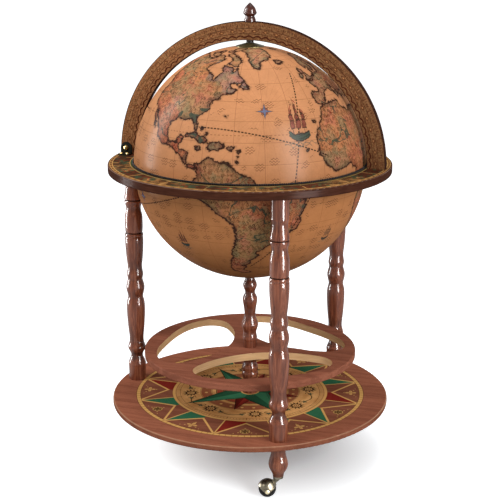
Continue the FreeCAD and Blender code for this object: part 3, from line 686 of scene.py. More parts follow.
@dataclass(frozen=True)
class HorizonBand(Finish):
    """Printed calendar-like band on the ring's top, red-brown on its edges."""

    outer: float = 306.0
    top: float = 660.0
    middle: float = 277.0
    panel_half: float = 18.5
    line_half: float = 18.8
    petal: float = 17.0
    ochre: Tint = Tint(150, 108, 64)
    ochre_deep: Tint = Tint(104, 70, 42)
    brown: Tint = Tint(96, 54, 34)
    brown_deep: Tint = Tint(86, 46, 32)
    edge: Tint = Tint(82, 48, 35)
    edge_deep: Tint = Tint(52, 28, 20)
    rim: Tint = Tint(92, 54, 40)
    # pale colour of the painted highlight on the outer top edge
    wear_and_highlight: Tint = Tint(160, 134, 118)
    green: Tint = Tint(64, 84, 56)
    moss: Tint = Tint(52, 70, 52)
    bark: Tint = Tint(62, 40, 28)
    rust: Tint = Tint(150, 70, 44)
    gold: Tint = Tint(186, 142, 82)
    ink: Tint = Tint(58, 36, 26)

    def paint(self, kit: ShaderKit) -> None:
        """Draw panels with leaves between two scales, stained edges and a painted highlight along the outer top
        edge.

        Args:
            kit: Material that takes the finish.
        """
        x, y, z = kit.place()
        radius, angle = kit.polar(x, y)
        arc = radius * DEGREE
        grain = kit.noise((radius * 0.5, angle * 0.12, z * 0.5), 4.0)
        edge = kit.ramp(grain, (0.3, self.edge_deep), (0.7, self.edge))
        aside = angle.wrapped(20)
        mottle = kit.noise((x * 0.06, y * 0.06, 0.0), 5.0)
        panel = kit.ramp(mottle, (0.3, self.ochre_deep), (0.7, self.ochre))
        darker = abs((angle + 10).wrapped(40)).under(10, 0.1)
        panel = kit.mix(darker, panel, kit.ramp(mottle, (0.3, self.brown_deep), (0.7, self.brown)))
        across = aside * arc
        along = radius - self.middle
        reach, turn = kit.polar(across, along)
        leaf = reach - abs((turn * 2).cosine()) * self.petal
        panel = kit.mix(leaf.under(0.0, 0.5) * 0.9, panel, self.green)
        lobes = (reach - abs((turn * 2).sine()) * 11.0).under(0.0, 0.5)
        panel = kit.mix(lobes * 0.85, panel, self.rust)
        panel = kit.mix(reach.under(3.6, 0.4), panel, self.gold)
        outline = leaf.near(0.0, 0.45, 0.25) * reach.over(3.0, 0.4)
        curl = kit.polar(abs(across) - 33.0, abs(along) - 7.0)[0]
        outline = outline.most(curl.near(6.0, 0.8, 0.3)).most(curl.near(2.2, 0.9, 0.3))
        panel = kit.mix(outline * 0.85, panel, self.ink)
        divide = abs((angle - 10).wrapped(20)) * arc
        panel = kit.mix(divide.under(1.1, 0.3), panel, self.gold)
        wood = kit.noise((x * 0.045, y * 0.045, 4.0), 4.0, 0.62)
        panel = kit.mix(wood.rise(0.50, 0.56) * 0.85, panel, self.bark)
        moss = kit.noise((x * 0.05, y * 0.05, 9.0), 4.0, 0.62)
        panel = kit.mix(moss.rise(0.53, 0.59) * 0.8, panel, self.moss)
        colour = kit.mix(abs(along).under(self.panel_half, 0.3), self.green, panel)
        lines = abs(along).near(self.line_half, 0.9, 0.25).most(radius.near(301.6, 0.7, 0.25))
        scale = kit.mix((angle.wrapped(4) * arc).over(0.0, 0.2), self.ochre, self.brown)
        colour = kit.mix(radius.near(298.8, 2.2, 0.25), colour, scale)
        colour = kit.mix(lines, colour, self.gold)
        rim = radius.over(302.6, 0.3).most(radius.under(254.4, 0.3))
        colour = kit.mix(rim, colour, self.rim)
        colour = kit.mix(z.over(self.top - 0.4, 0.15), edge, colour)
        # painted highlight: a pale line along the outer top edge of the ring
        arris_highlight = z.over(self.top - 1.2, 0.4) * radius.over(self.outer - 1.2, 0.4)
        colour = kit.mix(arris_highlight * 0.5, colour, self.wear_and_highlight)
        wear = kit.clouds((x, y, z), 0.02, 3.0)
        colour = kit.shade(colour, 0.84 + mottle * 0.28)
        kit.varnish(colour, 0.40 + wear * 0.12, grain, 0.00006, coat=0.02, blur=0.22)


@dataclass(frozen=True)
class ArchScale(Finish):
    """Brown print with a degree scale on both faces of the arch, dark on its edges."""

    middle_height: float = 660.0
    inner: float = 259.0
    outer: float = 298.0
    gem_circle: float = 278.0
    border_half: float = 5.4
    scallop_circle: float = 263.8
    deep: Tint = Tint(98, 62, 39)
    brown: Tint = Tint(138, 93, 60)
    pale: Tint = Tint(174, 126, 86)
    fleck: Tint = Tint(70, 41, 26)
    olive: Tint = Tint(100, 76, 44)
    scallop: Tint = Tint(64, 26, 17)
    gem: Tint = Tint(80, 40, 26)
    edge: Tint = Tint(70, 42, 31)
    edge_deep: Tint = Tint(38, 21, 16)
    ink: Tint = Tint(46, 26, 20)
    line: Tint = Tint(176, 122, 74)

    def paint(self, kit: ShaderKit) -> None:
        """Draw borders, a scalloped line, ticks, small lozenges and painted light that makes the print lighter
        towards the left end.

        Args:
            kit: Material that takes the finish.
        """
        spot = kit.place()
        x, y, z = spot
        radius, angle = kit.polar(x, z - self.middle_height)
        arc = radius * DEGREE
        mottle = kit.clouds(spot, 0.2, 5.0, 0.7)
        grain = kit.noise((radius * 0.8, angle * 0.25, y * 0.3), 3.0)
        stops = ((0.36, self.deep), (0.50, self.brown), (0.64, self.pale))
        colour = kit.ramp(mottle * 0.7 + grain * 0.3, *stops)
        fine = abs(angle.wrapped(1.0)) * arc
        coarse = abs(angle.wrapped(5.0)) * arc
        ticks = fine.under(0.35, 0.2) * radius.near(290.5, 2.0, 0.2)
        ticks = ticks.most(coarse.under(0.5, 0.2) * radius.near(288.5, 4.0, 0.2))
        scallop = (radius - abs((angle * 45).sine()) * 4.0).near(self.scallop_circle, 1.4, 0.5)
        borders = abs(radius - self.gem_circle).near(self.border_half, 0.45, 0.2)
        speck = kit.clouds(spot, 0.24, 4.0, 0.7)
        colour = kit.mix(speck.rise(0.44, 0.60) * 0.6, colour, self.fleck)
        # painted light: the print grows lighter, by a factor from 0.94 up to 1.56, towards the arch's left end
        colour = kit.shade(colour, 0.94 + angle.rise(70.0, 165.0) * 0.62)
        colour = kit.mix(mottle.rise(0.50, 0.62) * 0.5, colour, self.olive)
        colour = kit.mix(ticks.most(borders) * 0.9, colour, self.ink)
        colour = kit.mix(scallop * 0.95, colour, self.scallop)
        aside = (angle - 2.5).wrapped(5.0) * arc
        gem = abs(aside) * 0.55 + abs(radius - self.gem_circle)
        colour = kit.mix(gem.under(4.0, 0.3) * 0.65, colour, self.gem)
        colour = kit.mix(gem.under(1.7, 0.3) * 0.9, colour, self.line)
        dark = kit.ramp(grain, (0.3, self.edge_deep), (0.7, self.edge))
        edge = radius.over(self.outer - 1.4, 0.5).most(radius.under(self.inner + 1.2, 0.5))
        face = kit.facing("Y").over(0.6, 0.1) * (1 - edge)
        wear = kit.clouds(spot, 0.02, 3.0)
        colour = kit.mix(face, dark, colour)
        kit.varnish(colour, 0.36 + wear * 0.14, grain, 0.00006, coat=0.012, blur=0.22)


@dataclass(frozen=True)
class MapPrint(Finish):
    """Antique style map print with washes, ink coasts and a fine grid under satin varnish."""

    centre_height: float = 657.0
    radius: float = 250.0
    turn: float = 20.3
    upper: Tint = Tint(188, 130, 89)
    # darker ground tint of the lower shell, as painted shade
    lower_shaded: Tint = Tint(170, 112, 69)
    ink: Tint = Tint(44, 28, 24)
    sepia: Tint = Tint(112, 66, 42)
    wave_ink: Tint = Tint(64, 42, 32)
    stroke_ink: Tint = Tint(32, 22, 20)
    route_ink: Tint = Tint(34, 24, 22)
    halo: Tint = Tint(78, 58, 50)
    rose: Tint = Tint(184, 98, 82)
    olive: Tint = Tint(112, 118, 86)
    stain: Tint = Tint(84, 54, 42)
    river: Tint = Tint(48, 66, 54)
    border: Tint = Tint(118, 40, 30)

    def paint(self, kit: ShaderKit) -> None:
        """Draw ground with painted shade on the lower shell, land, coast, grid, routes and ornaments.

        Args:
            kit: Material that takes the finish.
        """
        x, y, z = kit.place()
        rise = z - self.centre_height
        spot = (x, y, rise)
        level, east = kit.polar(x, y)
        north = kit.polar(level, rise)[1]
        cloud = kit.clouds(spot, 0.013, 5.0, 0.6)
        fleck = kit.clouds(spot, 0.28, 4.0, 0.6)
        # painted shade: the lower shell takes a darker ground tint than the upper one
        ground = kit.mix(rise.rise(-60.0, 60.0), self.lower_shaded, self.upper)
        age = kit.clouds(spot, 0.05, 5.0, 0.68, shift=3.0)
        tone = 0.56 + cloud * 0.36 + age * 0.30 + fleck * 0.24
        # painted shade: the ground darkens further, down to 0.4, towards the bottom of the bowl
        ground = kit.shade(ground, tone * (0.40 + rise.rise(-250.0, -110.0) * 0.60))
        shore = kit.carried("coast")
        ragged = kit.clouds(spot, 0.085, 6.0, 0.70)
        shore = shore + (ragged - 0.5) * 22.0
        grid = self.grid(level, east + self.turn, north)
        colour = kit.mix(grid * 0.6, ground, self.sepia)
        swell = self.waves(kit, spot, level) * shore.under(-12.0, 2.0)
        colour = kit.mix(swell * 0.85, colour, self.wave_ink)
        colour = self.land(kit, colour, shore, spot, level)
        colour = self.routes(kit, colour, spot)
        for chart in CHART_STARS:
            colour = chart.draw(kit, colour, spot, shore)
        for ship in SHIPS:
            colour = ship.draw(kit, colour, spot)
        pits = kit.clouds(spot, 0.6, 2.0)
        kit.varnish(colour, 0.48 + cloud * 0.14, pits, 0.00004, coat=0.035, blur=0.26)

    def grid(self, level: Signal, east: Signal, north: Signal) -> Signal:
        """Draw the lines of latitude and longitude.

        Args:
            level: Way from the pole's axis in millimetres.
            east: Longitude in degrees.
            north: Latitude in degrees.

        Returns:
            The lines' mask.
        """
        arc = self.radius * DEGREE
        meridian = (east.wrapped(15) * level * DEGREE).near(0.0, 0.42, 0.3)
        parallel = (north.wrapped(10) * arc).near(0.0, 0.42, 0.3)
        tropic = (abs(north) - 23.4) * arc
        circle = (abs(north) - 66.6) * arc
        dashes = east.wrapped(2.0).over(0.0, 0.1)
        double = tropic.near(0.0, 0.9, 0.3).most(circle.near(0.0, 0.9, 0.3)) * dashes
        return meridian.most(parallel).most(double)

    def land(self, kit: ShaderKit, sea: Signal, shore: Signal, spot: Spot, level: Signal) -> Signal:
        """Draw the land with its washes, marks and inked coast.

        Args:
            kit: Finish that is being made.
            sea: Colour of the sea.
            shore: Way inland from the coast in millimetres.
            spot: Place about the globe's centre.
            level: Way from the pole's axis in millimetres.

        Returns:
            The colour with the land drawn.
        """
        wash = kit.carried("wash", "Color")
        wash = kit.node("HueSaturation", {}, {"Saturation": 1.05, "Value": 1.0, "Color": wash})
        blot = kit.clouds(spot, 0.05, 5.0, 0.62)
        inland = kit.mix(0.1 + blot * 0.6, sea, kit.shade(wash, 0.86))
        patch = kit.clouds(spot, 0.032, 4.0, 0.6, shift=5.0)
        inland = kit.mix(patch.rise(0.52, 0.62) * 0.42, inland, self.rose)
        inland = kit.mix(patch.rise(0.47, 0.38) * 0.45, inland, self.olive)
        rim = shore.rise(15.0, 0.0)
        inland = kit.mix(rim * 0.6, inland, kit.shade(wash, 0.46))
        stain = kit.clouds(spot, 0.19, 6.0, 0.75, shift=11.0).rise(0.42, 0.68)
        inland = kit.mix(stain * 0.55, inland, self.stain)
        marks = self.marks(kit, spot, level)
        inland = kit.mix(marks * shore.over(4.0, 1.0) * 0.95, inland, self.stroke_ink)
        stream = kit.clouds(spot, 0.011, 3.0, 0.5, 0.6)
        river = abs(stream - 0.5).under(0.008, 0.003) * shore.over(1.0, 0.5)
        inland = kit.mix(river * 0.85, inland, self.river)
        border = kit.clouds(spot, 0.013, 3.0, 0.5, 0.4, shift=7.0)
        dashes = kit.clouds(spot, 0.45, 1.0).over(0.5, 0.04)
        bounds = abs(border - 0.5).under(0.007, 0.003) * shore.over(1.0, 0.5) * dashes
        inland = kit.mix(bounds * 0.8, inland, self.border)
        colour = kit.mix(shore.over(0.0, 0.4), sea, inland)
        weight = kit.clouds(spot, 0.11, 3.0)
        halo = shore.near(0.0, 3.4, 3.0)
        colour = kit.mix(halo * 0.34, colour, self.halo)
        line = shore.near(0.0, weight * 3.8, 0.6)
        return kit.mix(line * 0.95, colour, self.ink)

    def marks(self, kit: ShaderKit, spot: Spot, level: Signal) -> Signal:
        """Draw small pen strokes: hills, hatching and trees.

        Args:
            kit: Finish that is being made.
            spot: Place about the globe's centre.
            level: Way from the pole's axis in millimetres.

        Returns:
            The strokes' mask.
        """
        across, upward, draw = self.cells(kit, spot, level, 9.5, 1.45)
        chain = kit.carried("relief").under(10.0, 3.0)
        peak = (upward + abs(across) * 1.3).near(2.6, 0.42, 0.3) * abs(across).under(3.4, 0.2)
        slope = (upward + across * 0.4).wrapped(1.5)
        hatch = slope.near(0.0, 0.28, 0.25) * across.near(1.3, 1.2, 0.2)
        hatch = hatch * (upward + across * 1.3).under(2.4, 0.2)
        hill = peak.most(hatch * upward.over(-2.6, 0.2))
        crown = kit.polar(across, upward - 1.2)[0]
        tree = crown.near(1.6, 0.35, 0.25).most(across.near(0.0, 0.3, 0.2) * upward.near(-1.4, 1.1, 0.2))
        stroke = (upward * 0.8 + across * 0.6).wrapped(1.7).near(0.0, 0.3, 0.25) * crown.under(3.6, 0.3)
        hill = hill * draw.under(0.42, 0.005).most(chain)
        tree = tree * draw.near(0.52, 0.10, 0.005)
        stroke = stroke * draw.near(0.76, 0.13, 0.005)
        thick = kit.clouds(spot, 0.016, 3.0, shift=3.0).rise(0.36, 0.50)
        return hill.most(tree).most(stroke) * (0.65 + thick * 0.35).most(chain)

    def waves(self, kit: ShaderKit, spot: Spot, level: Signal) -> Signal:
        """Draw small groups of waves on the sea.

        Args:
            kit: Finish that is being made.
            spot: Place about the globe's centre.
            level: Way from the pole's axis in millimetres.

        Returns:
            The waves' mask.
        """
        across, upward, draw = self.cells(kit, spot, level, 30.0, 1.6)
        bend = upward + (across * 80).sine() * 0.9
        rows = bend.wrapped(3.4).near(0.0, 0.4, 0.3) * abs(upward).under(5.0, 0.3)
        return rows * (abs(across) + abs(upward) * 0.8).under(7.5, 0.4) * draw.under(0.58, 0.005)

    def cells(self, kit: ShaderKit, spot: Spot, level: Signal, pitch: float, size: float) -> Spot:
        """Scatter small upright drawing places over the globe.

        Args:
            kit: Finish that is being made.
            spot: Place about the globe's centre.
            level: Way from the pole's axis in millimetres.
            pitch: Way between two places.
            size: Scale of the drawings.

        Returns:
            Ways to the right and up from the nearest place, and a number of that place from 0 to 1.
        """
        shares = {"Vector": kit.vector(*spot), "Scale": 1 / pitch, "Randomness": 0.75}
        middle = kit.node("TexVoronoi", {}, shares, "Position")
        chance = kit.node("TexVoronoi", {}, shares, "Color")
        away = [here - there for here, there in zip(spot, kit.axes(middle))]
        across = (away[1] * spot[0] - away[0] * spot[1]) / (level * size)
        upward = away[2] * (self.radius / size) / level
        return across, upward, kit.node("SeparateColor", {}, {0: chance}, 0)

    def routes(self, kit: ShaderKit, colour: Signal, spot: Spot) -> Signal:
        """Draw dotted sailing routes along great circles.

        Args:
            kit: Finish that is being made.
            colour: Colour below the routes.
            spot: Place about the globe's centre.

        Returns:
            The colour with the routes drawn.
        """
        for start, end in ROUTES:
            first, last = chart_vector(*start), chart_vector(*end)
            pole = first.cross(last).normalized()
            middle = (first + last).normalized()
            side = pole.cross(middle)
            off = dot(spot, pole)
            forward = dot(spot, middle)
            along = kit.math("ARCTAN2", dot(spot, side), forward) * self.radius
            reach = math.acos(max(-1.0, min(1.0, first.dot(last)))) / 2 * self.radius
            dash = along.wrapped(7.0).near(0.0, 2.4, 0.3)
            line = off.near(0.0, 1.3, 0.3) * dash * abs(along).under(reach, 1.0) * forward.over(0.0, 1.0)
            colour = kit.mix(line * 0.95, colour, self.route_ink)
        return colour


def dot(spot: Sequence[Signal], axis: Vector) -> Signal:
    """Return how far a place lies along a fixed axis."""
    return spot[0] * axis[0] + spot[1] * axis[1] + spot[2] * axis[2]


def chart_vector(east: float, north: float) -> Vector:
    """Find a place of the map on the mounted globe.

    Args:
        east: Longitude in degrees.
        north: Latitude in degrees.

    Returns:
        The unit vector to it.
    """
    turn = math.radians(east - MapPrint.turn)
    tilt = math.radians(north)
    return Vector((math.cos(tilt) * math.cos(turn), math.cos(tilt) * math.sin(turn), math.sin(tilt)))


def chart_plane(spot: Spot, east: float, north: float, size: float) -> Spot:
    """Lay a flat drawing plane on the globe.

    Args:
        spot: Place about the globe's centre.
        east: Longitude of the drawing's middle.
        north: Latitude of the drawing's middle.
        size: Scale of the drawing.

    Returns:
        Ways to the right and up in the drawing, and a mask of its side of the globe.
    """
    middle = chart_vector(east, north)
    right = Vector((0.0, 0.0, 1.0)).cross(middle).normalized()
    above = middle.cross(right)
    return dot(spot, right) / size, dot(spot, above) / size, dot(spot, middle).over(0.0, 1.0)


@dataclass(frozen=True)
class ChartStar:
    """A wind star with rays drawn on the sea of the map."""

    east: float
    north: float
    size: float = 1.0
    ray: Tint = Tint(126, 72, 46)
    short_blade: Tint = Tint(150, 78, 56)
    long_blade: Tint = Tint(88, 92, 112)
    edge_ink: Tint = Tint(52, 44, 50)
    circle_ink: Tint = Tint(60, 48, 50)

    def draw(self, kit: ShaderKit, colour: Signal, spot: Spot, shore: Signal) -> Signal:
        """Draw the star.

        Args:
            kit: Finish that is being made.
            colour: Colour below the star.
            spot: Place about the globe's centre.
            shore: Way inland from the coast in millimetres.

        Returns:
            The colour with the star drawn.
        """
        across, upward, front = chart_plane(spot, self.east, self.north, self.size)
        reach, angle = kit.polar(across, upward)
        rays = (angle.wrapped(11.25) * reach * DEGREE).near(0.0, 0.22, 0.25)
        rays = rays * reach.under(150.0, 20.0) * front * shore.under(0.0, 0.5)
        colour = kit.mix(rays * 0.32, colour, self.ray)
        for points, turn, tip, notch, tint in (
            (4, 45.0, 9.5, 3.6, self.short_blade), (4, 0.0, 17.0, 3.6, self.long_blade)
        ):
            edge = kit.star(reach, angle - turn, points, tip, notch)
            half = (angle - turn).wrapped(360 / points).over(0.0, 0.4)
            blade = kit.mix(half, tint, tint.shaded(1.7))
            colour = kit.mix(edge.under(0.0, 0.3) * front, colour, blade)
            colour = kit.mix(edge.near(0.0, 0.35, 0.25) * front, colour, self.edge_ink)
        circle = reach.near(7.2, 0.4, 0.25) * front
        return kit.mix(circle, colour, self.circle_ink)


@dataclass(frozen=True)
class ChartShip:
    """A small three-masted ship drawn on the sea of the map."""

    east: float
    north: float
    size: float
    sails: Tint
    hull: Tint
    ink: Tint = Tint(50, 34, 30)
    foam: Tint = Tint(62, 78, 70)

    def draw(self, kit: ShaderKit, colour: Signal, spot: Spot) -> Signal:
        """Draw the ship.

        Args:
            kit: Finish that is being made.
            colour: Colour below the ship.
            spot: Place about the globe's centre.

        Returns:
            The colour with the ship drawn.
        """
        across, upward, front = chart_plane(spot, self.east, self.north, self.size)
        across = across * 1.6
        front = front * abs(across).under(24.0, 0.3)
        shake = 0.14 / self.size
        across = across + (kit.clouds(spot, shake, 4.0, 0.7, shift=2.0) - 0.5) * 8.0
        upward = upward + (kit.clouds(spot, shake, 4.0, 0.7, shift=9.0) - 0.5) * 6.0
        bend = across * across
        low = upward - (bend * 0.020 - 9.0)
        high = upward - (bend * 0.013 - 3.2)
        body = low.over(0.0, 0.25) * high.under(0.0, 0.25) * abs(across).under(15.5, 0.3) * front
        plank = low.wrapped(2.1).near(0.0, 0.25, 0.2)
        mast = across.wrapped(8.6)
        tall = 27.0 - abs(across) * 1.1
        row = abs(across).under(12.8, 0.2)
        pole = mast.near(0.0, 0.35, 0.2) * row * front
        pole = pole * upward.over(-3.2, 0.3) * upward.under(tall + 2.0, 0.3)
        belly = 1.5 - (upward - 7.0) * (upward - 7.0) * 0.05
        course = (abs(mast - belly * 0.6) - 3.2).most(abs(upward - 5.6) - 3.2)
        upper = (abs(mast - 0.5) - 2.6).most(abs(upward - 12.0) - 2.4)
        crest = (abs(mast - 0.4) - 1.8).most(abs(upward - 17.0) - 1.7)
        royal = (abs(mast - 0.3) - 1.4).most(abs(upward - 21.6) - 1.8)
        sail = course.least(upper).least(crest).least(royal)
        inside = row * front * upward.under(tall, 0.6)
        fold = (mast - belly * 0.6 + upward * 0.12).wrapped(1.5).near(0.0, 0.3, 0.3)
        stay = (abs(mast) - (tall - upward) * 0.24).near(0.0, 0.2, 0.2)
        stay = stay * upward.over(-3.0, 0.3) * upward.under(tall, 0.3)
        wave = (upward + (across * 36).sine() * 0.8).near(-11.0, 0.45, 0.3)
        swell = (upward + (across * 36 + 150).sine() * 0.8).near(-13.4, 0.4, 0.3) * abs(across).under(17, 1)
        flag = (upward - tall - 1.4).near(0.0, 0.8, 0.2) * mast.near(1.8, 1.7, 0.2) * row * front
        fade = kit.clouds(spot, 0.12, 4.0, 0.65)
        colour = kit.mix(wave.most(swell) * front * 0.7, colour, self.foam)
        colour = kit.mix(pole.most(stay * inside * 0.7), colour, self.ink)
        cloth = kit.shade(kit.mix(fold * 0.75, self.sails, self.ink), 0.3 + fade * 1.4)
        colour = kit.mix(sail.under(0.0, 0.25) * inside, colour, cloth)
        colour = kit.mix(sail.near(0.0, 0.35, 0.25) * inside, colour, self.ink)
        colour = kit.mix(flag, colour, self.sails)
        hull = kit.shade(kit.mix(plank * 0.8, self.hull, self.ink), 0.55 + fade * 0.9)
        colour = kit.mix(body, colour, hull)
        rail = high.near(0.0, 0.5, 0.3).most(low.near(0.0, 0.5, 0.3)) * abs(across).under(15.5, 0.3)
        return kit.mix(rail * front, colour, self.ink)


CHART_STARS = (
    ChartStar(-44.0, 35.0),
    ChartStar(-118.0, -12.0, 0.9),
    ChartStar(78.0, -24.0, 0.9),
    ChartStar(160.0, 22.0),
)
SHIPS = (
    ChartShip(-26.5, 25.0, 2.35, Tint(146, 78, 60), Tint(64, 74, 62)),
    ChartShip(-92.0, -33.0, 1.2, Tint(120, 70, 48), Tint(52, 64, 58)),
    ChartShip(-6.0, -30.0, 1.1, Tint(150, 104, 70), Tint(62, 60, 50)),
    ChartShip(72.0, 0.0, 1.3, Tint(140, 60, 46), Tint(58, 70, 56)),
    ChartShip(-160.0, 34.0, 1.4, Tint(150, 104, 70), Tint(58, 70, 56)),
)
ROUTES = (
    ((-79.0, 26.5), (-12.0, 12.0)),
    ((-17.0, 56.0), (-31.0, 1.5)),
    ((-22.0, -4.0), (-52.0, -48.0)),
    ((-84.0, -6.0), (-150.0, -20.0)),
    ((48.0, -8.0), (112.0, -22.0)),
    ((-128.0, 30.0), (165.0, 12.0)),
)


@dataclass(frozen=True)
class ShellLining(Finish):
    """Dark red-brown paper lining inside the globe, with a gold line near the rim."""

    centre_height: float = 657.0
    rim_rise: float = 3.2
    paper: Tint = Tint(128, 70, 50)
    deep: Tint = Tint(84, 40, 30)
    seam: Tint = Tint(60, 28, 22)
    gold: Tint = Tint(196, 152, 88)
    rim: Tint = Tint(92, 56, 40)

    def paint(self, kit: ShaderKit) -> None:
        """Draw mottled paper with gore seams and a gold line.

        Args:
            kit: Material that takes the finish.
        """
        spot = kit.place()
        x, y, z = spot
        rise = z - self.centre_height
        level, angle = kit.polar(x, y)
        cloud = kit.clouds(spot, 0.02, 5.0, 0.6)
        fibre = kit.clouds(spot, 0.5, 4.0)
        colour = kit.ramp(cloud * 0.7 + fibre * 0.3, (0.3, self.deep), (0.7, self.paper))
        seam = (angle.wrapped(30) * level * DEGREE).near(0.0, 0.5, 0.3)
        colour = kit.mix(seam * 0.5, colour, self.seam)
        band = abs(rise).near(26.0, 1.1, 0.25).most(abs(rise).near(30.0, 0.5, 0.2))
        colour = kit.mix(band, colour, self.gold)
        rim = abs(rise - self.rim_rise).under(0.5, 0.1)
        colour = kit.mix(rim, colour, self.rim)
        kit.varnish(colour, 0.46 + cloud * 0.14, fibre - seam * 0.5, 0.0001, coat=0.01, blur=0.3)


@dataclass(frozen=True)
class TrayWood(Finish):
    """Satin stained wood of the bar insert."""

    base: Tint = Tint(138, 82, 55)
    deep: Tint = Tint(92, 50, 35)
    cut: Tint = Tint(166, 116, 78)

    def paint(self, kit: ShaderKit) -> None:
        """Draw long grain with paler cut edges.

        Args:
            kit: Material that takes the finish.
        """
        colour, fibre, wear = long_grain(kit, kit.place(), self.base, self.deep)
        colour = kit.mix(kit.facing("Z").under(0.4, 0.2) * 0.5, colour, self.cut)
        kit.varnish(colour, 0.40 + wear * 0.14, fibre, 0.00012, coat=0.008, blur=0.25)


@dataclass(frozen=True)
class MetalFinish(Finish):
    """Metal with tarnish in patches and fine rubbing marks."""

    bright: Tint
    dull: Tint
    rough: float

    def paint(self, kit: ShaderKit) -> None:
        """Draw tarnish, rubbing marks and faint dents.

        Args:
            kit: Material that takes the finish.
        """
        spot = kit.place()
        x, y, z = spot
        patch = kit.clouds(spot, 0.09, 5.0, 0.65)
        rub = kit.noise((x * 1.9, y * 1.9, z * 0.25), 3.0)
        specks = kit.clouds(spot, 0.7, 3.0).rise(0.60, 0.74)
        colour = kit.mix((patch * 0.75 + rub * 0.25).rise(0.34, 0.62), self.dull, self.bright)
        colour = kit.mix(specks * 0.45, colour, self.dull.shaded(0.5))
        rough = self.rough + (1 - patch) * 0.16 + rub * 0.08
        kit.surface(colour, rough, rub * 0.5 + patch * 0.5, 0.00006, Metallic=1.0)


@dataclass(frozen=True)
class BlackCoat(Finish):
    """Black plastic or lacquer with a fine grain."""

    tint: Tint = Tint(26, 24, 23)
    # here only the colour of real wear
    wear_and_highlight: Tint = Tint(64, 58, 54)

    def paint(self, kit: ShaderKit) -> None:
        """Draw a fine grain with places of wear.

        Args:
            kit: Material that takes the finish.
        """
        spot = kit.place()
        grain = kit.clouds(spot, 1.6, 3.0)
        wear = kit.clouds(spot, 0.14, 4.0)
        colour = kit.mix(wear.rise(0.45, 0.75) * 0.5, self.tint, self.wear_and_highlight)
        kit.surface(colour, 0.38 + grain * 0.2, grain, 0.00012, Specular_IOR_Level=0.05)


@dataclass(frozen=True)
class TreadRubber(Finish):
    """Black rubber of the caster treads, dusty where it runs."""

    rubber: Tint = Tint(27, 26, 26)
    dust: Tint = Tint(84, 79, 74)

    def paint(self, kit: ShaderKit) -> None:
        """Draw scuffs and dust on black rubber.

        Args:
            kit: Material that takes the finish.
        """
        spot = kit.place()
        grain = kit.clouds(spot, 0.9, 4.0)
        dust = kit.clouds(spot, 0.16, 4.0).rise(0.45, 0.72)
        colour = kit.mix(dust * 0.5, self.rubber, self.dust)
        kit.surface(colour, 0.58 + grain * 0.22, grain, 0.00018, Specular_IOR_Level=0.05)


@dataclass(frozen=True)
class BraidCord(Finish):
    """Black twisted cord with visible threads."""

    black: Tint = Tint(8, 8, 8)
    sheen: Tint = Tint(34, 32, 31)

    def paint(self, kit: ShaderKit) -> None:
        """Draw fine threads along the strands.

        Args:
            kit: Material that takes the finish.
        """
        along = kit.carried("along")
        round_way = kit.carried("round")
        thread = abs((round_way * 7 + along * 0.35).wrapped(1.0)) * 2
        fuzz = kit.clouds(kit.place(), 1.4, 3.0)
        colour = kit.mix(thread * 0.5 + fuzz * 0.3, self.black, self.sheen)
        height = thread * 0.7 + fuzz * 0.3
        kit.surface(colour, 0.62 + fuzz * 0.2, height, 0.00018, Specular_IOR_Level=0.1)


PLATED_STEEL = MetalFinish("plated_steel", Tint(186, 186, 184), Tint(138, 138, 138), 0.24)
SATIN_TRAY = TrayWood("satin_tray")


